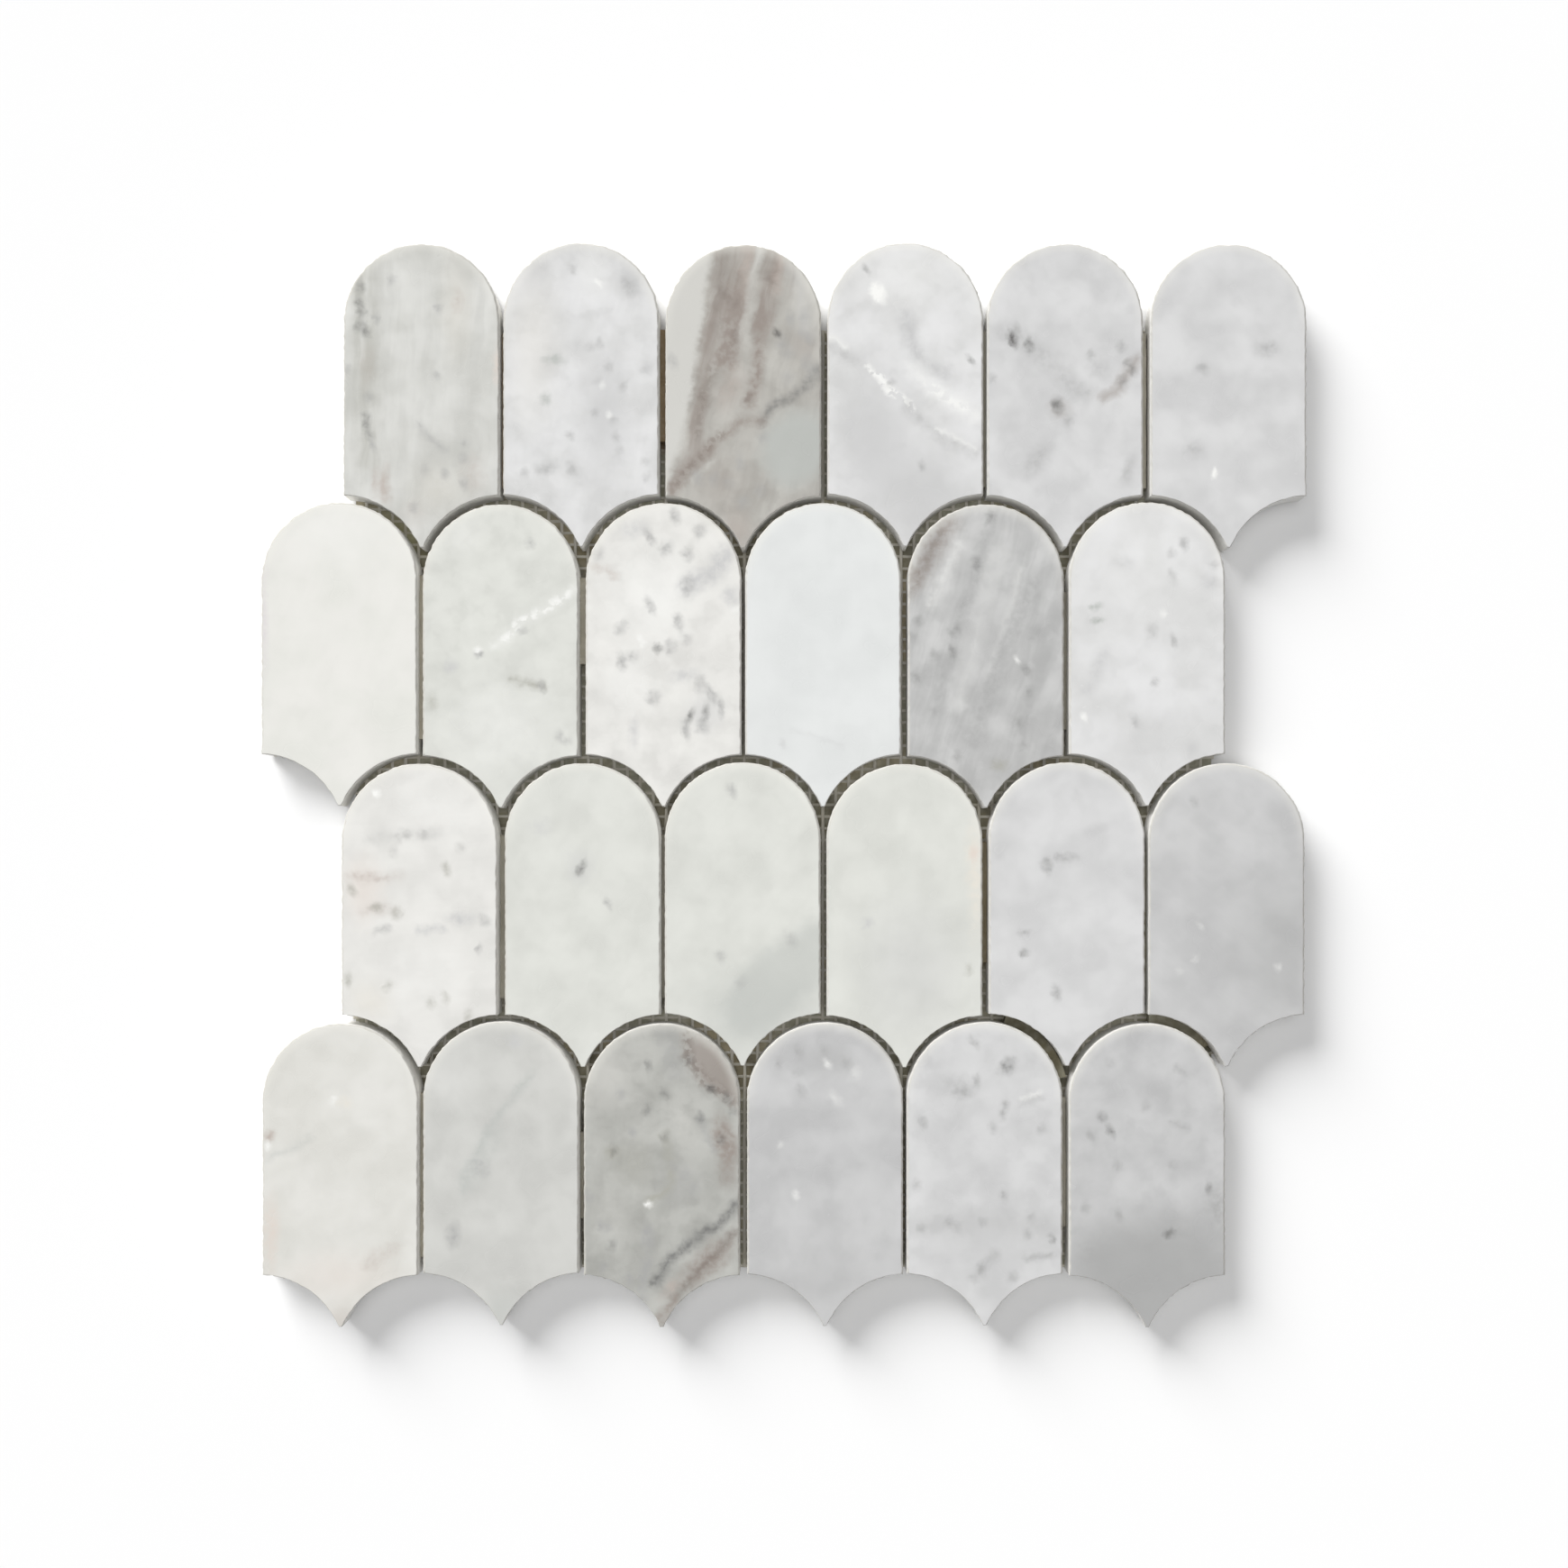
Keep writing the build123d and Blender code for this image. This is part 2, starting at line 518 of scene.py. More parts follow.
def start_bead(name, width, height, place):
    """The upright end of a bead of glue, ready to be drawn out."""
    bpy.ops.object.select_all(action="DESELECT")
    bpy.ops.mesh.primitive_plane_add(size=2, rotation=(pi / 2, 0, 0))
    bead = bpy.context.object
    bead.name = name
    bpy.ops.object.transform_apply(rotation=True)
    start_edit(bead)
    bpy.ops.mesh.select_all(action="SELECT")
    bpy.ops.transform.resize(value=(width / 2 + BEAD_BITE, 1, height), center_override=(0, 0, 0))
    bpy.ops.transform.translate(value=place)
    return bead


def end_bead(bead, lumps):
    """Closes a drawn-out bead and makes it lumpy."""
    bpy.ops.mesh.select_all(action="SELECT")
    bpy.ops.mesh.remove_doubles(threshold=NEARLY)
    bpy.ops.mesh.normals_make_consistent(inside=False)
    end_edit()
    displace(bead, lumps, LUMP_HEIGHT, LUMP_LEVEL, "Z")
    keep_inside(bead, Vector((-1, -1, GLUE_LOW)), Vector((1, 1, tile_thickness)))
    bpy.ops.object.shade_smooth_by_angle(angle=radians(ROUND_SMOOTHING))


def make_beads():
    """Glue that was squeezed up into some of the joints."""
    lumps = clouds("bead_lumps", LUMP_SIZE)
    beads = []
    for row, column, start, stop, height, _ in SIDE_BEADS:
        middle = joint_place(row, column)
        bead = start_bead("side_bead", SIDE_JOINT, height * MM, (middle.x, middle.y + start * MM, 0))
        for _ in range(round((start - stop) * MM / BEAD_STEP)):
            bpy.ops.mesh.extrude_region_move(TRANSFORM_OT_translate={"value": (0, -BEAD_STEP, 0)})
        end_bead(bead, lumps)
        beads.append(bead)
    for row, column, start, stop in ARCH_BEADS:
        centre = tile_place(f"arch_tile_row{row}_col{column}")
        bead = start_bead("arch_bead", ARCH_JOINT, ARCH_BEAD_HEIGHT, (arch_radius + ARCH_JOINT / 2, 0, 0))
        bpy.ops.transform.translate(value=(centre.x, centre.y, 0))
        turned = Matrix.Translation((centre.x, centre.y, 0)) @ Matrix.Rotation(radians(start), 4, "Z")
        steps = round(radians(stop - start) * arch_radius / BEAD_STEP)
        bpy.ops.mesh.spin(
            steps=steps, angle=radians(start - stop), center=(centre.x, centre.y, 0), axis=(0, 0, 1))
        end_edit()
        bead.data.transform(turned @ Matrix.Translation((-centre.x, -centre.y, 0)))
        start_edit(bead)
        end_bead(bead, lumps)
        beads.append(bead)
    return beads


# Shader building

def add_node(tree, kind, settings=None, **inputs):
    """A node whose inputs are named with _ for a space. A socket given as a value is linked."""
    node = tree.nodes.new(kind)
    for name, value in (settings or {}).items():
        setattr(node, name, value)
    for name, value in inputs.items():
        feed(tree, node.inputs[name.replace("_", " ")], value)
    return node


def feed(tree, socket, value):
    if isinstance(value, bpy.types.NodeSocket):
        tree.links.new(value, socket)
    else:
        socket.default_value = value


def calc(tree, operation, *values):
    node = tree.nodes.new("ShaderNodeMath")
    node.operation = operation
    for socket, value in zip(node.inputs, values):
        feed(tree, socket, value)
    return node.outputs[0]


def vector_calc(tree, operation, *values):
    node = tree.nodes.new("ShaderNodeVectorMath")
    node.operation = operation
    for socket, value in zip(node.inputs, values):
        feed(tree, socket, value)
    gives_value = operation in ("DOT_PRODUCT", "LENGTH", "DISTANCE")
    return node.outputs["Value" if gives_value else "Vector"]


def scaled(tree, vector, factor):
    node = tree.nodes.new("ShaderNodeVectorMath")
    node.operation = "SCALE"
    feed(tree, node.inputs[0], vector)
    feed(tree, node.inputs["Scale"], factor)
    return node.outputs[0]


def smooth_step(tree, value, nothing_at, full_at):
    """0 at one value, 1 at the other, eased between."""
    node = add_node(tree, "ShaderNodeMapRange", {"interpolation_type": "SMOOTHSTEP"}, Value=value)
    feed(tree, node.inputs["From Min"], nothing_at)
    feed(tree, node.inputs["From Max"], full_at)
    return node.outputs[0]


def mix_colour(tree, share, below, above):
    node = tree.nodes.new("ShaderNodeMix")
    node.data_type = "RGBA"
    feed(tree, node.inputs[0], share)
    feed(tree, node.inputs[6], below)
    feed(tree, node.inputs[7], above)
    return node.outputs[2]


SOCKETS = {"value": "NodeSocketFloat", "vector": "NodeSocketVector", "colour": "NodeSocketColor"}


def new_group(name, inputs, outputs):
    """A shader group, with its inputs to read from and its outputs to feed."""
    tree = bpy.data.node_groups.new(name, "ShaderNodeTree")
    for socket_name, kind in inputs.items():
        tree.interface.new_socket(socket_name, in_out="INPUT", socket_type=SOCKETS[kind])
    for socket_name, kind in outputs.items():
        tree.interface.new_socket(socket_name, in_out="OUTPUT", socket_type=SOCKETS[kind])
    entry, leave = tree.nodes.new("NodeGroupInput"), tree.nodes.new("NodeGroupOutput")
    return tree, entry.outputs, leave.inputs


def use_group(tree, group, **inputs):
    return add_node(tree, "ShaderNodeGroup", {"node_tree": group}, **inputs).outputs


# Effects that the materials share

def drift_group():
    """Moves a place about, so that what is drawn there wanders as stone does."""
    tree, given, out = new_group("stone_drift", {"Place": "vector", "Reach": "value", "Scale": "value"},
                                 {"Place": "vector"})
    noise = add_node(tree, "ShaderNodeTexNoise", Vector=given["Place"], Scale=given["Scale"], Detail=3.0)
    offset = vector_calc(tree, "SUBTRACT", noise.outputs["Color"], (0.5, 0.5, 0.5))
    feed(tree, out["Place"], vector_calc(tree, "ADD", given["Place"], scaled(tree, offset, given["Reach"])))
    return tree


def clouds_group():
    """Cloudy shading, 0 to 1, that starts at one level of a noise and is full at another."""
    tree, given, out = new_group(
        "stone_clouds", {"Place": "vector", "Scale": "value", "Start": "value", "Full": "value"},
        {"Clouds": "value", "Level": "value"})
    noise = add_node(tree, "ShaderNodeTexNoise", Vector=given["Place"], Scale=given["Scale"],
                     Detail=2.0, Roughness=0.5)
    feed(tree, out["Clouds"], smooth_step(tree, noise.outputs["Fac"], given["Start"], given["Full"]))
    feed(tree, out["Level"], noise.outputs["Fac"])
    return tree


def arch_highlight_group():
    """A painted highlight round the top of an arch, standing in for light that comes through the edge of the
    stone.
    """
    tree, given, out = new_group("painted_arch_highlight", {"Place": "vector"}, {"Mask": "value"})
    place = add_node(tree, "ShaderNodeSeparateXYZ", Vector=given["Place"])
    above = calc(tree, "MAXIMUM", place.outputs["Y"], 0)
    head = add_node(tree, "ShaderNodeCombineXYZ", X=place.outputs["X"], Y=above)
    from_centre = vector_calc(tree, "LENGTH", head.outputs[0])
    radius = arch_radius / MM
    highlight = smooth_step(tree, from_centre, radius - HIGHLIGHT_WIDTH, radius)
    feed(tree, out["Mask"], calc(tree, "MULTIPLY", highlight, smooth_step(tree, place.outputs["Y"], *HIGHLIGHT_RISE)))
    return tree


def streaks_group():
    """Long thin streaks along the bed of the stone, which lies at a turn from the tile's length."""
    tree, given, out = new_group("bedding_streaks", {"Place": "vector", "Turn": "value"},
                                 {"Streaks": "value"})
    turned = add_node(tree, "ShaderNodeVectorRotate", {"rotation_type": "Z_AXIS"}, Vector=given["Place"],
                      Angle=given["Turn"])
    drawn_out = vector_calc(tree, "MULTIPLY", turned.outputs[0], STREAK_FINENESS)
    noise = add_node(tree, "ShaderNodeTexNoise", Vector=drawn_out, Scale=1.0, Detail=3.0, Roughness=0.6)
    feed(tree, out["Streaks"], smooth_step(tree, noise.outputs["Fac"], *STREAK_LEVELS))
    return tree


def vein_group():
    """A straight length of vein between two places, 1 along its middle and 0 past its feathered edge."""
    tree, given, out = new_group(
        "vein_length",
        {"Place": "vector", "From": "vector", "To": "vector", "Width": "value", "Feather": "value"},
        {"Mask": "value"})
    run = vector_calc(tree, "SUBTRACT", given["To"], given["From"])
    away = vector_calc(tree, "SUBTRACT", given["Place"], given["From"])
    along = calc(tree, "DIVIDE", vector_calc(tree, "DOT_PRODUCT", away, run),
                 vector_calc(tree, "DOT_PRODUCT", run, run))
    held = add_node(tree, "ShaderNodeClamp", Value=along).outputs[0]
    distance = vector_calc(tree, "DISTANCE", away, scaled(tree, run, held))
    half = calc(tree, "MULTIPLY", given["Width"], 0.5)
    edge = calc(tree, "ADD", half, given["Feather"])
    core = calc(tree, "SUBTRACT", half, given["Feather"])
    feed(tree, out["Mask"], smooth_step(tree, distance, edge, core))
    return tree


def patch_group():
    """An oval patch, turned, 1 at its middle and 0 at its edge."""
    tree, given, out = new_group(
        "stone_patch",
        {"Place": "vector", "Centre": "vector", "Reach": "vector", "Turn": "value", "Core": "value"},
        {"Mask": "value"})
    away = vector_calc(tree, "SUBTRACT", given["Place"], given["Centre"])
    turned = add_node(tree, "ShaderNodeVectorRotate", {"rotation_type": "Z_AXIS"}, Vector=away,
                      Angle=given["Turn"])
    share = vector_calc(tree, "LENGTH", vector_calc(tree, "DIVIDE", turned.outputs[0], given["Reach"]))
    feed(tree, out["Mask"], smooth_step(tree, share, 1.0, given["Core"]))
    return tree


def stone_finish_and_light_group():
    """Polished face, ground arris with painted shade, and sawn sides and back pale with dust and a painted
    glow, told apart by the way a face looks.
    """
    tree, given, out = new_group(
        "stone_finish_and_painted_light",
        {"Colour": "colour", "Facing": "vector", "Place": "vector", "Clouds": "value"},
        {"Colour": "colour", "Roughness": "value", "Height": "value"})
    up = add_node(tree, "ShaderNodeSeparateXYZ", Vector=given["Facing"]).outputs["Z"]
    sawn = smooth_step(tree, up, *SAWN_TILT)
    arris = calc(tree, "MULTIPLY", smooth_step(tree, up, *ARRIS_TILT),
                 smooth_step(tree, up, *ARRIS_FOOT_TILT))
    grain = add_node(tree, "ShaderNodeTexNoise", Vector=given["Place"], Scale=1.6, Detail=3.0, Roughness=0.7)
    # Stone dust on the sawn walls and back, pale partly as a painted glow of light through the stone
    dusty_and_glowing = mix_colour(tree, calc(tree, "MULTIPLY", sawn, SAWN_DUST_AND_GLOW_SHARE), given["Colour"], SAWN_DUST_AND_GLOW_COLOUR)
    # Ground arris, darkened as painted shade
    eased_and_shaded = mix_colour(tree, calc(tree, "MULTIPLY", arris, ARRIS_SHADE_SHARE), dusty_and_glowing, tone(*ARRIS_SHADE_TONE))
    feed(tree, out["Colour"], eased_and_shaded)
    polish = calc(tree, "MULTIPLY_ADD", given["Clouds"], CLOUD_ROUGHNESS, POLISH_ROUGHNESS)
    feed(tree, out["Roughness"], calc(tree, "MULTIPLY_ADD", sawn, SAWN_ROUGHNESS, polish))
    grainy = calc(tree, "MULTIPLY_ADD", sawn, SAWN_GRAIN, FACE_GRAIN)
    feed(tree, out["Height"], calc(tree, "MULTIPLY", grain.outputs["Fac"], grainy))
    return tree


# Marks in the stone

def vein(colour, strength, width, *points, feather=1.2, texture="cloudy"):
    """A vein through a few points. Its texture is cloudy, smooth, streaked along the bed, or broken."""
    return {"kind": "vein", "colour": colour, "strength": strength, "width": width, "points": points,
            "feather": feather, "texture": texture}


def patch(colour, strength, u, v, half_width, half_height, turn=0, core=0.0):
    """A soft oval patch, whose top leans to the right by its turn in degrees. A large one is smooth."""
    texture = "smooth" if min(half_width, half_height) > SMOOTH_SIZE else "cloudy"
    return {"kind": "patch", "colour": colour, "strength": strength, "centre": (u, v),
            "reach": (half_width, half_height), "turn": turn, "core": core, "texture": texture}


def spots(colour, strength, size, *places):
    """Small soft mineral spots, uneven in size, lean and strength."""
    marks = []
    for number, (u, v) in enumerate(places):
        unevenness = number * GOLDEN_SHARE % 1
        marks.append(patch(colour, strength * (0.85 - 0.3 * unevenness), u, v,
                           size * (0.8 + 0.5 * unevenness), size * (1.7 - 0.6 * unevenness),
                           turn=90 * unevenness - 30))
    return marks


# Colours of the marks, as they show
WHITE = (250, 250, 247)
CREAM = (232, 228, 218)
PEACH = (228, 214, 204)
LILAC = (222, 216, 219)
PINK = (190, 178, 170)
TAUPE = (158, 149, 142)
BROWN = (132, 123, 116)
OLIVE = (172, 171, 161)
GREEN_GREY = (190, 193, 189)
PALE_GREY = (203, 203, 203)
MID_GREY = (170, 170, 169)
DARK_GREY = (126, 126, 124)
INK = (92, 90, 88)
BONE = (213, 212, 207)

# Light and cloudy colour of each kind of stone, as they show
STONE_TONES = {
    "ivory": ((237, 236, 231), (232, 232, 226)),
    "milk": ((232, 234, 233), (227, 229, 228)),
    "speckled white": ((237, 236, 232), (229, 228, 224)),
    "sage white": ((227, 228, 222), (219, 220, 214)),
    "rosy white": ((231, 230, 225), (223, 222, 216)),
    "silver": ((230, 230, 230), (220, 220, 219)),
    "pale grey": ((222, 222, 222), (210, 210, 210)),
    "oatmeal grey": ((223, 223, 219), (211, 211, 206)),
    "fog": ((214, 214, 210), (205, 205, 201)),
    "lichen": ((192, 192, 187), (178, 178, 173)),
    "dove grey": ((208, 208, 208), (195, 195, 195)),
    "clay": ((197, 195, 189), (181, 178, 172)),
    "ash": ((208, 208, 207), (192, 192, 191)),
}

# Each tile's stone: its kind, how mottled and how streaked it is, how far its bed leans, and its marks
STONES = {
    "row1_col1": ("oatmeal grey", 0.2, 0.3, 2, [
        patch(CREAM, 0.35, 10, 4, 6, 22),
        patch(WHITE, 0.25, -2, 11, 9, 11),
        patch(WHITE, 0.25, 6, -23, 9, 16),
        patch(PINK, 0.3, -15, -13, 2.5, 9),
        patch(PINK, 0.3, 10, 6, 1.6, 5),
        patch(PINK, 0.3, 15, -44, 5, 8),
        patch(PINK, 0.2, -2, -55, 5, 6),
        vein(OLIVE, 0.35, 6, (-16.5, 15), (-15.5, -40), feather=3, texture="streaked"),
        vein(MID_GREY, 0.4, 1.6, (-0.5, -30), (7, -37)),
        patch(PINK, 0.65, -10.5, -47, 2.4, 7),
        patch(PINK, 0.4, -13.5, -46, 1.4, 6),
        patch(PEACH, 0.6, 22, -13, 1.4, 8),
        patch(CREAM, 0.3, 5, -48, 12, 10),
        *spots(DARK_GREY, 0.65, 1.6, (-18, 12), (-17.6, 9.8), (-18, 5.5), (-17.6, 2.5), (-17.7, -1),
               (-16, -2.5), (-16, -27), (-16, -30), (-15.3, -33)),
        *spots(MID_GREY, 0.6, 1.4, (-13.4, 1.3), (-14.7, -21), (-14.4, -36), (-21.5, -14), (-8.6, 11.6),
               (5, 4), (5, -16), (12.4, -39.7), (12, -35), (7.2, -44), (12.4, -46.5), (1.4, -43),
               (-1.8, -53.5)),
    ]),
    "row1_col2": ("silver", 0.28, 0.12, 10, [
        patch(WHITE, 0.22, 3, 14, 7, 13),
        patch(WHITE, 0.2, -15, -25, 9, 14),
        patch(PALE_GREY, 0.4, -14, 13, 7, 7),
        patch(PALE_GREY, 0.4, 14, 12, 8, 8),
        patch(CREAM, 0.3, -14, -6, 12, 30),
        patch(PALE_GREY, 0.6, 7, -28, 12, 28),
        patch(MID_GREY, 0.45, 14.3, 9.7, 3, 5.5, turn=-31),
        patch(GREEN_GREY, 0.7, -7.6, -11.6, 4.5, 1.8),
        patch(GREEN_GREY, 0.7, -10.2, -22.6, 2.2, 2),
        patch(PALE_GREY, 0.7, 18.8, -13.5, 3, 3),
        patch(MID_GREY, 0.45, -9.5, -42.3, 5, 2),
        *spots(MID_GREY, 0.5, 1.4, (-2.8, 14.5), (3, -7), (5.3, -6.5), (5.3, -17.4), (12.4, -19),
               (7.5, -13.5), (9.8, -28.4), (10.1, -33), (11, -37), (4.3, -26.5), (-3, -33), (18.8, -40.6),
               (18.8, -45), (-2.5, -42.6), (-16, -44)),
        *spots(WHITE, 0.7, 1.0, (4.6, 11), (6.5, -18.5), (8.5, -27)),
    ]),
    "row1_col3": ("clay", 0.3, 0.35, 14, [
        patch(BONE, 0.95, -25, -12, 12, 62, turn=10.4, core=0.78),
        patch(TAUPE, 0.4, 17, -7, 7, 8),
        patch(TAUPE, 0.4, -7, -46, 11, 11),
        patch(GREEN_GREY, 0.85, 15, -36, 12, 15, turn=20, core=0.45),
        patch(BONE, 0.7, -19.5, -32, 4, 10, turn=12),
        patch(BONE, 0.3, 17, 6, 6, 14, turn=10),
        vein(TAUPE, 0.65, 2.8, (-7, 19), (-9, 5), (-11.8, -13.7), (-14.8, -32), (-19, -47), feather=1.1,
             texture="streaked"),
        vein(TAUPE, 0.9, 9, (-1.5, 24), (-3.5, 5), feather=2.2, texture="streaked"),
        vein(PINK, 0.5, 3.5, (1.5, 23), (-0.5, 8), feather=1.5),
        vein(BROWN, 0.55, 2.4, (-5.5, 20), (-7.5, 4), feather=1.6, texture="streaked"),
        vein(TAUPE, 0.9, 6.5, (-2.5, 8), (-3.5, -3), (-5.5, -10), feather=2.4),
        vein(TAUPE, 0.6, 3, (-8.5, 2), (-10, -12), (-12, -26), (-14.5, -38), feather=1.8,
             texture="streaked"),
        vein(BROWN, 0.4, 1.6, (-9.4, -12), (-11.5, -23), (-13, -32), feather=1.2, texture="broken"),
        patch(PINK, 0.4, -4, -19, 5, 11, turn=14),
        vein(BONE, 0.7, 2.2, (4.4, 21), (2.4, 8), (0.2, -4), feather=1.4, texture="streaked"),
        vein(TAUPE, 0.95, 5, (9.8, 23), (7.2, 9), (5.4, 0), feather=2, texture="streaked"),
        vein(PINK, 0.5, 2, (11.5, 20), (9.5, 9), feather=1.4),
        vein(TAUPE, 0.85, 3.2, (5.4, 1), (4.6, -11), (1.8, -23), feather=1.6),
        vein(PALE_GREY, 0.35, 4, (15, 16), (18.5, -2), feather=2, texture="streaked"),
        vein(TAUPE, 0.3, 1.8, (14.8, 17), (13, 7), feather=1.4, texture="streaked"),
        vein(DARK_GREY, 0.55, 2.4, (22, -14), (18, -18.5), (13.8, -21.5), (7.7, -23.5), (5.5, -28),
             feather=1.4),
        vein(TAUPE, 0.65, 2.6, (5.5, -28), (-1, -29), (-5.7, -33), (-11, -36.8), feather=1.6),
        vein(TAUPE, 0.85, 4, (-10, -36), (-16, -42.2), (-20.5, -48.5), feather=2),
        vein(BROWN, 0.4, 1.4, (-6, -32), (-13, -38.5), (-19, -46.5), texture="broken"),
        vein(BONE, 0.45, 1, (-9, -40), (-14.5, -46), feather=1),
        patch(PINK, 0.4, -2, -60, 6, 9),
        *spots(BROWN, 0.45, 2.0, (-6, 9), (-3, 6), (-1, 13), (-7.5, 0), (-2, -4), (-12, -21), (1.5, -22),
               (8, 13)),
        *spots(MID_GREY, 0.5, 2.2, (18.2, -4), (13, -9), (18, -11), (13.5, -16), (20, -14), (13.5, 1),
               (18, 2), (11, -6)),
        *spots(MID_GREY, 0.5, 2.0, (-13, -45), (-8.5, -45), (-0.5, -40), (-4, -46), (4, -48), (-20, -11),
               (6, -33), (0, -52)),
        *spots(INK, 0.8, 1.0, (9.8, -3)),
    ]),
    "row1_col4": ("silver", 0.25, 0.05, 50, [
        patch(PALE_GREY, 0.75, -9, -34, 18, 30),
        patch(PALE_GREY, 0.75, 5, -50, 24, 24),
        patch(WHITE, 0.25, 0, 14, 24, 16),
        vein(PALE_GREY, 0.75, 4, (0, 1), (0.5, -3), (3.7, -9), (5.7, -12.3), (10.8, -14.8), feather=2.2),
        vein(MID_GREY, 0.4, 3, (-21.4, -7), (-14.3, -11), feather=1.8),
        vein(WHITE, 0.6, 1.3, (-22, -5), (-16.5, -8)),
        vein(WHITE, 0.35, 4.5, (3, -13.5), (7.6, -20), (13.4, -23.2), (20.5, -27), feather=2.4),
        vein(WHITE, 0.6, 2, (6.5, -19), (13.4, -23.5), (17, -25), feather=1, texture="broken"),
        vein(MID_GREY, 0.35, 2.4, (1, -25.5), (5, -29), (10.8, -34.2), (20.5, -38), feather=1.8),
        vein(WHITE, 0.95, 1.8, (-10.5, -13.5), (-7.2, -16), (-4, -20), (-1.4, -22), (1.8, -25), feather=0.9,
             texture="broken"),
        vein(WHITE, 0.5, 1, (9, -31.5), (20.5, -37), feather=0.8),
        patch(WHITE, 0.95, -7.9, 8, 2.6, 3.8, turn=-20, core=0.3),
        *spots(MID_GREY, 0.6, 1.2, (-11, 15.2), (-4, -17.8), (5, -41.6), (0.5, -24.5)),
        *spots(DARK_GREY, 0.6, 1.3, (18.9, -11.2)),
    ]),
    "row1_col5": ("pale grey", 0.18, 0.05, -40, [
        vein(MID_GREY, 0.3, 5, (-17, -3), (-10, -7), (-5.5, -11), (1.6, -17.4), (5, -20.5), feather=2.5),
        patch(MID_GREY, 0.3, 9.4, -13.5, 4, 5),
        vein(TAUPE, 0.6, 2.8, (20.5, -11), (17, -16), (14.5, -20), (11, -22), feather=1.8,
             texture="smooth"),
        patch(TAUPE, 0.35, -1.5, -25, 4, 4),
        patch(INK, 0.8, -15.5, -5, 1.6, 3.3, turn=-20),
        patch(DARK_GREY, 0.75, -10.3, -6.8, 1.9, 2.2, turn=-30),
        patch(DARK_GREY, 0.7, -1.9, -24, 1.7, 3),
        patch(MID_GREY, 0.5, 1, -28.5, 2.8, 2.4),
        patch(MID_GREY, 0.4, -8, -40, 4, 8, turn=30),
        patch(MID_GREY, 0.35, 18.4, -42, 2, 6, turn=20),
        *spots(DARK_GREY, 0.6, 1.7, (19, -13), (16.5, -17)),
        *spots(MID_GREY, 0.7, 1.3, (-13.9, -2.3), (7.7, -9.2), (16, -6.8), (11.9, 19.5), (-21.3, -16.8)),
    ]),
    "row1_col6": ("pale grey", 0.12, 0.05, -45, [
        patch(PALE_GREY, 0.6, 16, -46, 14, 10),
        patch(MID_GREY, 0.5, 11.6, -7.7, 5, 3),
        vein(PALE_GREY, 0.5, 3, (-14, -17), (-7, -13.5), feather=2),
        patch(MID_GREY, 0.35, -10, -36.8, 4, 4),
        patch(WHITE, 0.8, -4.5, -43.5, 1.2, 1.2),
        patch(PALE_GREY, 0.4, 11.3, -18.7, 3, 2.5),
        patch(PALE_GREY, 0.4, 2.3, 5.8, 2, 2),
        *spots(MID_GREY, 0.5, 1.6, (-7, -13.5)),
    ]),
    "row2_col1": ("ivory", 0.08, 0.04, 20, [
        patch(LILAC, 0.6, -22, -10, 2, 26),
        patch(WHITE, 0.3, 0, 14, 22, 18),
    ]),
    "row2_col2": ("sage white", 0.25, 0.06, 60, [
        patch(WHITE, 0.25, -10, 14, 8, 8),
        patch(WHITE, 0.35, 0, -42, 26, 22),
        vein(WHITE, 0.45, 2.2, (21, -2.3), (16, -5.7), (11, -8.9), (5.2, -12), (1.3, -16.6), (-1.5, -18),
             feather=1.4),
        vein(WHITE, 0.75, 1.4, (19.5, -3.4), (16, -5.7), (11, -8.9), (5.2, -12), (1.3, -16.6), feather=0.8,
             texture="broken"),
        patch(MID_GREY, 0.5, 6.5, -14, 1.8, 1),
        patch(MID_GREY, 0.8, -5.8, -20.6, 1.9, 1.3),
        patch(WHITE, 0.8, -6.2, -19.2, 1.4, 0.9),
        patch(PALE_GREY, 0.6, -14.8, -23.7, 2.2, 3),
        patch(OLIVE, 0.4, -20, -34, 2.4, 3),
        vein(OLIVE, 0.6, 2, (3.2, -27.6), (11.6, -30.2)),
        vein(MID_GREY, 0.4, 1, (17.5, -45), (20, -45.6)),
        *spots(MID_GREY, 0.6, 1.4, (11, -30), (16.5, -43.4), (8.1, 11)),
    ]),
    "row2_col3": ("speckled white", 0.3, 0.04, 30, [
        patch(WHITE, 0.5, -3, -4, 18, 22),
        patch(WHITE, 0.4, -10, -30, 11, 14),
        patch(PALE_GREY, 0.5, -8, 15, 6, 3, turn=-30),
        vein(PALE_GREY, 0.7, 5, (7, -1), (13.4, 2), (19, 8), feather=2.5),
        patch(PALE_GREY, 0.6, 19.8, -4.4, 4, 4),
        patch(PALE_GREY, 0.5, 6, -27.5, 7, 2.5),
        patch(PALE_GREY, 0.5, -8.6, -43.7, 2.2, 6),
        patch(PALE_GREY, 0.5, 12, -38, 8, 8),
        vein(PINK, 0.4, 1.6, (-20, 4), (-16.5, 3.5), (-14, 1)),
        patch(DARK_GREY, 0.6, -2, -19, 1.9, 1.4),
        patch(DARK_GREY, 0.65, 7.5, -39.2, 1.3, 3.4, turn=20),
        patch(DARK_GREY, 0.55, 12, -38, 1.3, 3.4),
        patch(MID_GREY, 0.7, 16.6, -37, 1, 3.4),
        *spots(MID_GREY, 0.8, 2.1, (-3.7, 13), (1, 9.8), (3.4, 19), (10.5, 14.3), (7, 8), (-4, -7),
               (-12, -13.7), (4.6, -11.5), (6.3, -16.6), (1.7, -18.6), (-12, -23.7), (-9, -22),
               (10.8, -30.2), (13.7, -33), (-3, -33.7), (6.9, -1.2), (11.4, -42), (-18.9, 7.9), (6.3, -43)),
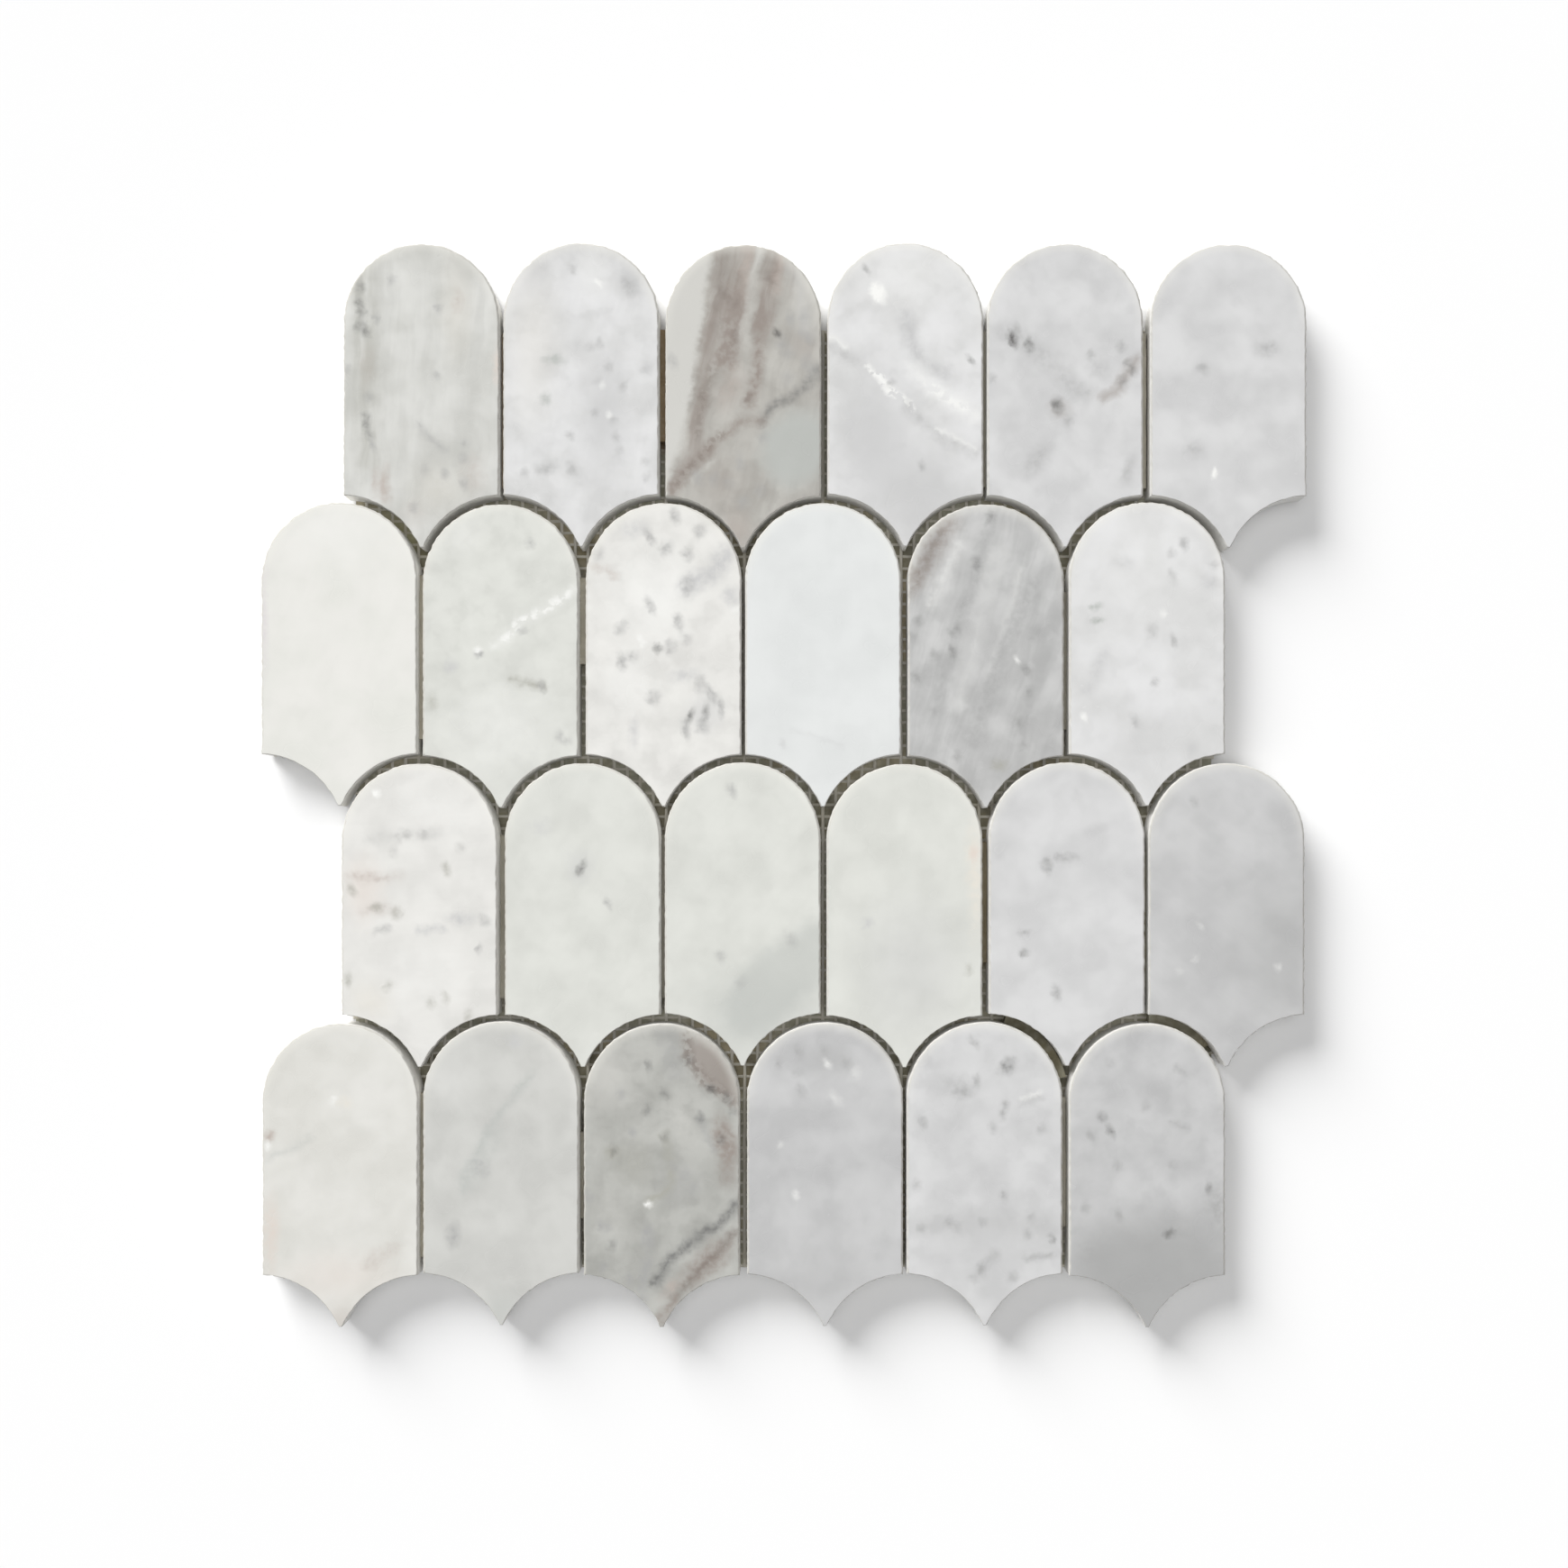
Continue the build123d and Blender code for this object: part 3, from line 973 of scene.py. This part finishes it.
        *spots(WHITE, 0.8, 1.0, (-6.5, -17.5), (21, -8)),
    ]),
    "row2_col4": ("milk", 0.06, 0.03, 0, [
        vein(PALE_GREY, 0.2, 1, (-9, -43), (5, -47), feather=1),
        *spots(PALE_GREY, 0.4, 1.0, (-11, -47)),
    ]),
    "row2_col5": ("ash", 0.25, 0.42, 17, [
        patch(MID_GREY, 0.25, 14, -36, 10, 20),
        vein(WHITE, 0.3, 4, (4, 9), (-2, -12), (-8, -34), feather=2.5, texture="streaked"),
        vein(WHITE, 0.3, 3, (-7, 11), (-16, -6), feather=2),
        vein(TAUPE, 0.55, 6, (-10, 17.5), (-20.5, 1), feather=2.8),
        vein(BROWN, 0.4, 2.6, (-13, 14.5), (-17.5, 7), (-20.5, 1), (-22, -4), feather=2),
        vein(MID_GREY, 0.5, 2.6, (2.2, 20), (-0.4, 12.4), (-2, 5), (-4.9, -3.7), (-8.8, -14), (-12, -26),
             (-15, -37), feather=1.8),
        vein(MID_GREY, 0.45, 6, (14.5, -1), (10.6, -7), (7.4, -14.7), (4, -21.8), (0.3, -32.8), (-3.6, -46),
             feather=2.8),
        vein(WHITE, 0.25, 1.6, (10, 4), (6, -8), (0, -26), feather=1.4, texture="streaked"),
        patch(MID_GREY, 0.6, 15, -15, 3.4, 3),
        patch(OLIVE, 0.6, 3.8, -52.5, 3.4, 2),
        *spots(DARK_GREY, 0.45, 1.8, (-2, 4.8), (-8.8, -14), (-9.6, -20), (-14.6, -20.8), (-19.4, -11.5),
               (11.4, -25.6), (12.5, -32), (9.6, -41), (10.9, -47.3), (-8, -50.5), (-20.6, -27.5),
               (-21.3, -16), (1.5, 19)),
        *spots(WHITE, 0.6, 1.0, (8.6, -22.8)),
    ]),
    "row2_col6": ("silver", 0.18, 0.04, 40, [
        patch(WHITE, 0.14, 0, 8, 26, 34),
        patch(PALE_GREY, 0.25, 0, -46, 26, 18),
        vein(PALE_GREY, 0.6, 3, (-12.5, -22), (-17.2, -32), feather=2),
        patch(PALE_GREY, 0.7, 18.6, -0.5, 3, 3),
        patch(PALE_GREY, 0.4, -6.9, 4.6, 5, 3),
        patch(PALE_GREY, 0.5, 13, -48.3, 3, 3),
        patch(GREEN_GREY, 0.9, -14.6, -7.3, 2.2, 1.1),
        patch(GREEN_GREY, 0.9, -14.3, -11.7, 2.2, 0.9),
        *spots(MID_GREY, 0.65, 1.4, (7.3, -17.3), (2, -29.5), (11.2, 10.3), (7.6, 7.9), (19.5, 4.5)),
        *spots(MID_GREY, 0.5, 2.0, (-3.7, -40.5), (0.8, -14.7), (7, 1)),
        *spots(WHITE, 0.8, 1.0, (-18, -40), (4.4, -9.9)),
    ]),
    "row3_col1": ("speckled white", 0.16, 0.08, 84, [
        patch(PEACH, 0.4, -16, -14, 8, 14),
        patch(PINK, 0.3, -12, -20, 7, 3),
        vein(PINK, 0.25, 2.4, (-20, -10.5), (-6, -9.8), feather=2),
        patch(CREAM, 0.5, -14, -46, 9, 9),
        patch(WHITE, 0.25, 3, 10, 20, 14),
        patch(WHITE, 0.25, 2, -38, 20, 14),
        vein(MID_GREY, 0.25, 2.4, (-14.7, 1), (-3.4, 1.9), (5, 2.5), feather=2.2),
        vein(PINK, 0.4, 1.1, (-18.6, -10), (-10, -9.7), feather=1.1),
        patch(OLIVE, 0.5, -12.5, -19.4, 2, 2.2),
        patch(OLIVE, 0.45, -7.3, -20.5, 2.4, 2.8, turn=-20),
        vein(MID_GREY, 0.5, 1, (-12, -26), (-8.5, -25.5)),
        vein(PALE_GREY, 0.6, 1.8, (0, -26), (7, -25.5)),
        patch(MID_GREY, 0.5, 19, -22.5, 2.4, 1.8, turn=40),
        patch(PALE_GREY, 0.6, 12, -22, 6, 2),
        patch(MID_GREY, 0.5, 16.6, -30.6, 0.8, 2),
        patch(OLIVE, 0.5, -20.2, -39.7, 1.4, 2.4),
        patch(WHITE, 0.95, -12.5, 13.7, 1.5, 1.5),
        *spots(DARK_GREY, 0.3, 1.4, (-3.4, 2), (-5.7, 0.3), (1.4, 1.6), (-7, -2.8), (11.7, -2.3)),
        *spots(OLIVE, 0.6, 1.6, (-19.4, -14), (-8.9, -41.3), (7.2, -45), (2.7, -47.4), (14.3, -50.3),
               (7.9, -7.9)),
    ]),
    "row3_col2": ("sage white", 0.12, 0.05, 30, [
        patch(PALE_GREY, 0.4, -1, -7.4, 6, 7),
        patch(PALE_GREY, 0.3, -12, 4.2, 5, 4),
        patch(INK, 0.55, -0.8, -7.4, 1.4, 3.0, turn=28),
        *spots(MID_GREY, 0.6, 1.2, (7, -18.2)),
    ]),
    "row3_col3": ("sage white", 0.12, 0.05, 40, [
        patch(GREEN_GREY, 0.42, 0, -52, 26, 24),
        patch(GREEN_GREY, 0.3, 17, -47, 11, 10),
        vein(GREEN_GREY, 0.5, 17, (22, -32), (12, -38), (3, -48), feather=3, texture="smooth"),
        *spots(MID_GREY, 0.6, 1.6, (-3.3, 13.9), (-6.5, -33.5)),
        *spots(MID_GREY, 0.4, 2.2, (14, -28.4), (-0.7, -41)),
    ]),
    "row3_col4": ("sage white", 0.12, 0.05, 10, [
        patch(PALE_GREY, 0.42, 2, -36, 24, 32),
        patch(CREAM, 0.8, 20.5, -10, 3.5, 26),
        patch(PEACH, 0.6, 20.5, -3.5, 1.4, 3),
        patch(PALE_GREY, 0.6, -11, -23.5, 2, 2),
        patch(OLIVE, 0.4, 17.9, -36.5, 1.4, 2),
    ]),
    "row3_col5": ("pale grey", 0.1, 0.05, 60, [
        patch(MID_GREY, 0.85, -5.5, -7, 1.9, 2.8),
        vein(MID_GREY, 0.5, 1.4, (-2.5, -5.2), (2.5, -5.2), feather=0.9),
        patch(PALE_GREY, 0.6, 8.7, 3.5, 5, 2.4, turn=-20),
        patch(MID_GREY, 0.6, -12, -26.8, 2.6, 0.9),
        patch(MID_GREY, 0.8, -12.9, -32, 1.9, 1.2),
        patch(MID_GREY, 0.7, -2.9, -44, 1.5, 2.8),
        *spots(PALE_GREY, 0.6, 1.7, (-19.2, -4.6), (2.9, 12)),
    ]),
    "row3_col6": ("dove grey", 0.1, 0.08, -50, [
        patch(WHITE, 0.06, -14, 8, 20, 26),
        patch(MID_GREY, 0.45, 14, -32, 28, 38),
        *spots(WHITE, 0.35, 0.9, (-7.8, -24), (-9.4, -34), (15, -36), (-13.6, -37)),
        *spots(MID_GREY, 0.5, 1.2, (-8.8, 11.3)),
    ]),
    "row4_col1": ("rosy white", 0.12, 0.04, 60, [
        patch(PEACH, 0.3, 0, -50, 24, 10),
        patch(PEACH, 0.5, -20, -38, 3, 16),
        patch(PINK, 0.35, 0, -63, 7, 8),
        vein(GREEN_GREY, 0.4, 1.6, (-20, -15.8), (-9.4, -10.8), feather=1.6),
        vein(PINK, 0.35, 3, (8, -46.5), (15, -42.5), feather=2),
        patch(PINK, 0.85, -20.4, -9.6, 2.2, 1.9),
        patch(CREAM, 0.6, 1.5, 0, 2.5, 2),
        *spots(WHITE, 0.8, 1.2, (-20.3, -12), (-1.6, 0.3)),
    ]),
    "row4_col2": ("fog", 0.14, 0.05, -30, [
        patch(WHITE, 0.2, -15, 6, 8, 14),
        vein(GREEN_GREY, 0.55, 1.8, (9, 8), (2.5, -1), (-3.5, -8), (-8, -17), (-10.5, -26), feather=1.4),
        vein(GREEN_GREY, 0.4, 5, (-2, -10), (-9, -24), feather=2.8),
        patch(MID_GREY, 0.4, -5.5, -19.5, 4.5, 3, turn=30),
        patch(MID_GREY, 0.6, -14, -39, 2.8, 4.5),
        patch(PALE_GREY, 0.6, 3.8, 17, 3, 2.5),
        patch(GREEN_GREY, 0.5, 0, -60, 8, 8),
    ]),
    "row4_col3": ("lichen", 0.35, 0.12, 8, [
        patch(BONE, 0.6, -16, 8, 9, 16),
        patch(BONE, 0.25, -14, -31, 8, 9),
        patch(OLIVE, 0.3, -8, -18, 8, 9),
        patch(MID_GREY, 0.35, 5, -24, 9, 10),
        patch(BONE, 0.3, 6, -6, 5, 9, turn=-15),
        vein(MID_GREY, 0.4, 5, (1, 21), (4.5, 9), feather=2.5),
        patch(TAUPE, 0.8, 15, 9.5, 6, 17, turn=-38, core=0.35),
        vein(BROWN, 0.75, 2.6, (7.2, 19), (8, 12.5), (13, 6), (20, 0.5), feather=1.6, texture="broken"),
        patch(TAUPE, 0.85, 18, -12, 4.5, 11, turn=-12, core=0.2),
        patch(TAUPE, 0.5, 18.5, -21, 4, 6),
        vein(MID_GREY, 0.45, 1.6, (11, -4.5), (14.5, -14)),
        vein(OLIVE, 0.55, 2.2, (0.8, -10), (3.4, -19), (2, -25), (-3.6, -28.5), feather=1.2),
        patch(OLIVE, 0.8, -14.5, -14.8, 3.4, 2.6),
        patch(MID_GREY, 0.7, -4, -39, 2.8, 6, turn=-5),
        vein(MID_GREY, 0.6, 3, (-4, -46), (-6, -57), feather=1.8),
        patch(TAUPE, 0.75, 13, -46, 5, 15, turn=48, core=0.2),
        vein(DARK_GREY, 0.8, 2.4, (22, -28.5), (15.7, -35.6), (9.2, -40.2), (2.8, -44.8), (-1.8, -52),
             feather=1.4),
        vein(BROWN, 0.6, 1.8, (21.5, -37.5), (15.7, -43.9), (9.2, -50), (2.8, -57), feather=1.4),
        patch(PINK, 0.5, 2, -54, 2.4, 6, turn=40),
        vein(TAUPE, 0.7, 2.4, (3, -57), (0, -63)),
        patch(WHITE, 0.8, -4, -29.6, 1.5, 1.1),
        *spots(INK, 0.75, 1.3, (14.4, 3.6), (16.8, -10.8)),
        *spots(DARK_GREY, 0.65, 1.3, (-4.2, 10.6), (-4.6, -2.3), (0.9, 2.3), (0.9, -10.7), (-14.2, -14.7),
               (11.1, -4.2), (8.3, 12), (18.4, 1), (20.3, -2.6), (-14.6, -41.5)),
        *spots(MID_GREY, 0.7, 1.5, (3.6, -18.6), (6.7, -20.5), (-17.5, -35.5), (-20.9, -27.7), (-17, -48),
               (-9.6, -51), (-12, 2), (-8, -9), (9, -25), (-15.5, -36)),
    ]),
    "row4_col4": ("dove grey", 0.14, 0.04, 20, [
        patch(MID_GREY, 0.4, 1, 11, 13, 6),
        patch(MID_GREY, 0.25, 0, -52, 26, 24),
        *spots(MID_GREY, 0.6, 1.6, (-7.4, 14.4), (0.5, 14.6), (-13, 11.3), (-7.7, 8), (6.2, 11), (-7, 3)),
        *spots(WHITE, 0.55, 1.2, (0.9, 11), (-12.7, -12.6), (-8, -27)),
        *spots(WHITE, 0.35, 2.2, (3, 0.6), (8.5, 8)),
    ]),
    "row4_col5": ("pale grey", 0.25, 0.06, 75, [
        patch(PALE_GREY, 0.3, 0, -14, 28, 60),
        patch(PALE_GREY, 0.6, 0, -44, 24, 16),
        patch(MID_GREY, 0.3, -9, 4.5, 11, 4),
        vein(MID_GREY, 0.3, 7, (-21, -36), (0, -35), (20, -37), feather=3.5, texture="smooth"),
        patch(PALE_GREY, 0.5, 5, -56, 9, 9),
        patch(DARK_GREY, 0.6, 6.5, 10, 2.6, 3.8, turn=55),
        patch(MID_GREY, 0.6, -6.5, 2, 3.6, 2.4),
        patch(MID_GREY, 0.5, -2.3, 5.6, 1.6, 2.8),
        patch(PALE_GREY, 0.5, -14, 3.5, 5, 2.4),
        vein(MID_GREY, 0.65, 1.7, (6, -1), (5, -4.7)),
        vein(WHITE, 0.5, 0.9, (11, 0), (16.6, 2.4), feather=0.8),
        vein(MID_GREY, 0.35, 1.2, (11, -1), (16.6, 1)),
        vein(MID_GREY, 0.5, 2, (12.8, -46), (19, -44.8)),
        vein(MID_GREY, 0.4, 2.4, (3.4, -44.5), (0, -48), (-3, -51), feather=1.6),
        *spots(MID_GREY, 0.65, 1.5, (-3.2, 17), (2.5, -8.2), (-17.2, -6.7), (-18.9, -24.3), (16.9, -8.2),
               (5.6, -27.7), (-18, -36.5), (-10.4, -35.3), (-8, -36.6), (-0.4, -35), (12.8, -38.4),
               (13.5, -33.4), (8.4, -51), (-0.5, -48.5)),
        *spots(DARK_GREY, 0.6, 1.1, (19.4, -39.4)),
    ]),
    "row4_col6": ("dove grey", 0.2, 0.08, 60, [
        patch(MID_GREY, 0.08, 2, -10, 24, 20),
        patch(MID_GREY, 0.85, 2, -54, 38, 30, core=0.4),
        patch(MID_GREY, 0.6, 21, -31, 5, 11),
        patch(MID_GREY, 0.35, -16, -43, 7, 5),
        vein(MID_GREY, 0.5, 1.4, (8, 10), (11, 8.4)),
        vein(MID_GREY, 0.5, 1.4, (7.2, -5.7), (11.6, -8)),
        patch(DARK_GREY, 0.75, 6.2, -38, 2, 1.4),
        vein(MID_GREY, 0.5, 1.2, (7, -38), (11.5, -38.3)),
        *spots(DARK_GREY, 0.65, 1.5, (-10.8, -9), (-13, -4.8), (17.9, -25.2)),
        *spots(MID_GREY, 0.65, 1.5, (-16.7, -10.4), (-1, -1), (-8.9, -18), (7.5, -18), (-17.4, -30.6),
               (-7.6, -32.8), (-10.4, 11.3)),
    ]),
}


def glue_stains_and_shade():
    """Where the glue has run thick or turned, and painted shade where three joints meet, as patches in
    millimetres on the sheet.
    """
    stains_and_shade = [
        patch(MOSS, 0.5, -114, 72, 17, 14),
        patch(PITCH, 0.85, 70, -76, 14, 14, core=0.5),
        patch(PITCH, 0.7, 116, -74, 15, 13, core=0.5),
    ]
    for row, column, start, stop, _, colour in SIDE_BEADS:
        middle = joint_place(row, column) / MM
        stains_and_shade.append(patch(colour, 0.95, middle.x, middle.y + (start + stop) / 2, STAIN_AND_SHADE_REACH,
                            (start - stop) / 2 + STAIN_RUN_OUT, core=0.85))
    # Painted shade: where three joints meet, the glue is darkened
    for row in range(2, ROWS + 1):
        for column in range(1, COLUMNS):
            middle = joint_place(row, column) / MM
            stains_and_shade.append(patch(PITCH, 0.7, middle.x, middle.y + SHADED_CORNER_RISE, STAIN_AND_SHADE_REACH, SHADED_CORNER_RISE,
                                core=0.4))
    return stains_and_shade


GLUE_STAINS_AND_SHADE = glue_stains_and_shade()


# Materials

def new_material(name):
    material = bpy.data.materials.new(name)
    material.use_nodes = True
    material.node_tree.nodes.clear()
    return material, material.node_tree


def finish_material(tree, colour, roughness, height, bump_depth):
    bump = add_node(tree, "ShaderNodeBump", Height=height, Distance=bump_depth)
    surface = add_node(tree, "ShaderNodeBsdfPrincipled", Base_Color=colour, Roughness=roughness,
                       Normal=bump.outputs[0])
    add_node(tree, "ShaderNodeOutputMaterial", Surface=surface.outputs[0])


def place_in_mm(tree, centre):
    """The place on a piece in millimetres from a centre."""
    coordinates = tree.nodes.new("ShaderNodeTexCoord")
    mapping = add_node(tree, "ShaderNodeMapping", Vector=coordinates.outputs["Object"],
                       Location=tuple(-c / MM for c in centre), Scale=(1 / MM, 1 / MM, 1 / MM))
    return mapping.outputs[0]


def mark_mask(tree, effects, mark, place):
    if mark["kind"] == "patch":
        reach = (half + PATCH_SPREAD for half in mark["reach"])
        return use_group(tree, effects["patch"], Place=place, Centre=(*mark["centre"], 0),
                         Reach=(*reach, 1), Turn=radians(mark["turn"]), Core=mark["core"])["Mask"]
    mask = None
    for start, end in zip(mark["points"], mark["points"][1:]):
        length = use_group(tree, effects["vein"], Place=place, From=(*start, 0), To=(*end, 0),
                           Width=mark["width"], Feather=mark["feather"] + VEIN_SPREAD)["Mask"]
        mask = length if mask is None else calc(tree, "MAXIMUM", mask, length)
    return mask


def marble_material(effects, name, centre, stone, index):
    """Polished marble of one kind, with a tile's own marks, a painted highlight round its arch, painted
    shade on its arris and a painted glow on its sawn walls.
    """
    kind, mottled, streaked, bed_turn, marks = stone
    light, cloudy = STONE_TONES[kind]
    material, tree = new_material(name)
    place = place_in_mm(tree, centre)
    own_place = vector_calc(tree, "ADD", place, (0, 0, SAWING_DEPTH * index))
    drifted = use_group(tree, effects["drift"], Place=own_place, Reach=4.0, Scale=0.09)["Place"]
    ragged = use_group(tree, effects["drift"], Place=drifted, Reach=2.2, Scale=0.5)["Place"]
    flat = vector_calc(tree, "MULTIPLY", ragged, (1, 1, 0))
    cloud = use_group(tree, effects["clouds"], Place=drifted, Scale=0.07, Start=0.3, Full=0.7)["Clouds"]
    mottle = use_group(tree, effects["clouds"], Place=ragged, Scale=0.15, Start=0.48, Full=0.72)
    fleck = use_group(tree, effects["clouds"], Place=own_place, Scale=0.5, Start=0.32, Full=0.68)["Clouds"]
    streak = use_group(tree, effects["streaks"], Place=drifted, Turn=radians(bed_turn))["Streaks"]
    textures = {"cloudy": calc(tree, "MULTIPLY_ADD", fleck, 0.6, 0.7),
                "broken": smooth_step(tree, fleck, 0.2, 0.7),
                "smooth": 1.0,
                "streaked": calc(tree, "MULTIPLY_ADD", streak, 0.9, 0.35)}
    colour = mix_colour(tree, cloud, tone(*light), tone(*cloudy))
    dark = tone(*(level - DARK_STEP for level in cloudy))
    pale = tone(*(level + PALE_STEP for level in light))
    thinned = smooth_step(tree, mottle["Level"], 0.5, 0.3)
    colour = mix_colour(tree, calc(tree, "MULTIPLY", streak, streaked), colour, dark)
    colour = mix_colour(tree, calc(tree, "MULTIPLY", mottle["Clouds"], mottled), colour, dark)
    colour = mix_colour(tree, calc(tree, "MULTIPLY", thinned, mottled), colour, pale)
    for mark in marks:
        full = calc(tree, "MULTIPLY", mark_mask(tree, effects, mark, flat), mark["strength"])
        share = calc(tree, "MULTIPLY", full, textures[mark["texture"]])
        colour = mix_colour(tree, share, colour, tone(*mark["colour"]))
    # Painted highlight round the top of the arch
    highlight = use_group(tree, effects["painted_arch_highlight"], Place=place)["Mask"]
    colour = mix_colour(tree, calc(tree, "MULTIPLY", highlight, HIGHLIGHT_STRENGTH), colour, tone(*HIGHLIGHT_TONE))
    facing = tree.nodes.new("ShaderNodeNewGeometry").outputs["Normal"]
    finish = use_group(tree, effects["finish_and_painted_light"], Colour=colour, Facing=facing, Place=own_place,
                       Clouds=cloud)
    finish_material(tree, finish["Colour"], finish["Roughness"], finish["Height"], STONE_BUMP)
    return material


def stained_and_shaded(tree, effects, place, colour):
    """Glue or yarn, tinted where the glue has run thick or turned, and darkened with painted shade where
    three joints meet.
    """
    flat = vector_calc(tree, "MULTIPLY", place, (1, 1, 0))
    # Real stains, and painted shade where three joints meet
    for stain in GLUE_STAINS_AND_SHADE:
        share = calc(tree, "MULTIPLY", mark_mask(tree, effects, stain, flat), stain["strength"])
        colour = mix_colour(tree, share, colour, tone(*stain["colour"]))
    return colour


def yarn_material(effects, name, across):
    """Resin-coated glass yarn, with its filaments along its run."""
    material, tree = new_material(name)
    place = place_in_mm(tree, (0, 0, 0))
    stretch = [FILAMENTS_ALONG, FILAMENTS_ALONG, 3.0]
    stretch[across] = FILAMENTS_ACROSS
    drawn_out = vector_calc(tree, "MULTIPLY", place, stretch)
    filaments = add_node(tree, "ShaderNodeTexNoise", Vector=drawn_out, Scale=1.0, Detail=2.0)
    stain = use_group(tree, effects["clouds"], Place=place, Scale=0.06, Start=0.35, Full=0.7)["Clouds"]
    clean = mix_colour(tree, filaments.outputs["Fac"], *(tone(*shade) for shade in YARN_TONES))
    dulled = mix_colour(tree, calc(tree, "MULTIPLY", stain, DULL_SHARE), clean, tone(*DULL_YARN_TONE))
    colour = mix_colour(tree, YARN_STAIN_AND_SHADE_SHARE, dulled, stained_and_shaded(tree, effects, place, dulled))
    roughness = calc(tree, "MULTIPLY_ADD", filaments.outputs["Fac"], 0.2, 0.45)
    finish_material(tree, colour, roughness, filaments.outputs["Fac"], YARN_BUMP)
    return material


def glue_material(effects):
    """Pale brown glue, greyer where it is thin, tinted where it has run thick or turned, and darkened with
    painted shade where three joints meet.
    """
    material, tree = new_material("brown_glue")
    place = place_in_mm(tree, (0, 0, 0))
    drifted = use_group(tree, effects["drift"], Place=place, Reach=8.0, Scale=0.08)["Place"]
    thin = use_group(tree, effects["clouds"], Place=drifted, Scale=0.03, Start=0.36, Full=0.52)["Clouds"]
    dabs = use_group(tree, effects["clouds"], Place=place, Scale=0.5, Start=0.3, Full=0.7)["Clouds"]
    body = mix_colour(tree, thin, *(tone(*shade) for shade in GLUE_TONES))
    mottled = mix_colour(tree, calc(tree, "MULTIPLY", dabs, DAB_SHARE), body, tone(*GLUE_DAB_TONE))
    colour = stained_and_shaded(tree, effects, place, mottled)
    roughness = calc(tree, "MULTIPLY_ADD", dabs, 0.25, 0.4)
    finish_material(tree, colour, roughness, dabs, GLUE_BUMP)
    return material


def floor_material():
    material, tree = new_material("studio_floor")
    surface = add_node(tree, "ShaderNodeBsdfPrincipled", Base_Color=FLOOR_COLOUR, Roughness=0.9)
    surface.inputs["Specular IOR Level"].default_value = 0.0
    add_node(tree, "ShaderNodeOutputMaterial", Surface=surface.outputs[0])
    return material


def wear_material(piece, material):
    piece.data.materials.clear()
    piece.data.materials.append(material)


# Studio

def make_floor():
    bpy.ops.object.select_all(action="DESELECT")
    bpy.ops.mesh.primitive_plane_add(size=FLOOR_SIZE, location=(0, 0, -NEARLY))
    floor = bpy.context.object
    floor.name = "studio_floor"
    wear_material(floor, floor_material())


def hang_lamp(name, direction, strength, spread, glossy):
    light = bpy.data.lights.new(name, "SUN")
    light.energy = strength
    light.angle = radians(spread)
    lamp = bpy.data.objects.new(name, light)
    lamp.rotation_euler = direction.to_track_quat("-Z", "Y").to_euler()
    lamp.visible_glossy = glossy
    bpy.context.scene.collection.objects.link(lamp)


def make_light():
    """A key light for the shadows, kept off the polish so that it does not glare, a panel and a sky."""
    down, level = -sin(radians(SUN_HEIGHT)), cos(radians(SUN_HEIGHT))
    sunlight = Vector((level * sin(radians(SUN_TURN)), -level * cos(radians(SUN_TURN)), down))
    hang_lamp("studio_key", sunlight, SUN_STRENGTH, SUN_SPREAD, glossy=False)
    hang_lamp("studio_panel", Vector((0, 0, -1)), PANEL_STRENGTH, PANEL_SPREAD, glossy=True)
    world = bpy.data.worlds.new("studio_fill")
    world.use_nodes = True
    world.node_tree.nodes["Background"].inputs["Color"].default_value = (1, 1, 1, 1)
    world.node_tree.nodes["Background"].inputs["Strength"].default_value = SKY_STRENGTH
    bpy.context.scene.world = world


def make_camera():
    pixel = MM / PIXELS_PER_MM
    foot = Vector(((VIEW_FOOT_PIXEL[0] - SHEET_CENTRE_PIXEL[0]) * pixel,
                   (SHEET_CENTRE_PIXEL[1] - VIEW_FOOT_PIXEL[1]) * pixel, cad_box[1].z + VIEW_HEIGHT))
    lens = bpy.data.cameras.new("view_from_above")
    lens.lens = lens.sensor_width * VIEW_HEIGHT / (PHOTO_SIDE * pixel)
    lens.shift_y = (VIEW_FOOT_PIXEL[1] - PHOTO_SIDE / 2) / PHOTO_SIDE
    camera = bpy.data.objects.new("view_from_above", lens)
    camera.location = foot
    bpy.context.scene.collection.objects.link(camera)
    bpy.context.scene.camera = camera


# The sheet

effects = {"drift": drift_group(), "clouds": clouds_group(), "streaks": streaks_group(),
           "vein": vein_group(), "patch": patch_group(), "painted_arch_highlight": arch_highlight_group(),
           "finish_and_painted_light": stone_finish_and_light_group()}

for index, (node, tile) in enumerate(make_tiles().items()):
    stone = node.removeprefix("arch_tile_")
    wear_material(tile, marble_material(effects, f"marble_{stone}", tile_place(node), STONES[stone], index))
    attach(tile, "root")
    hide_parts(node)

warp, weft = make_mesh()
wear_material(warp, yarn_material(effects, "warp_yarn", X))
wear_material(weft, yarn_material(effects, "weft_yarn", Y))
glue = make_glue()
wear_material(glue, glue_material(effects))
for piece, node in ((warp, "mesh_warp_yarns"), (weft, "mesh_weft_yarns"), (glue, None)):
    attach(piece, "root")
    if node:
        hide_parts(node)

make_floor()
make_light()
make_camera()
bpy.context.scene.view_settings.view_transform = "Standard"
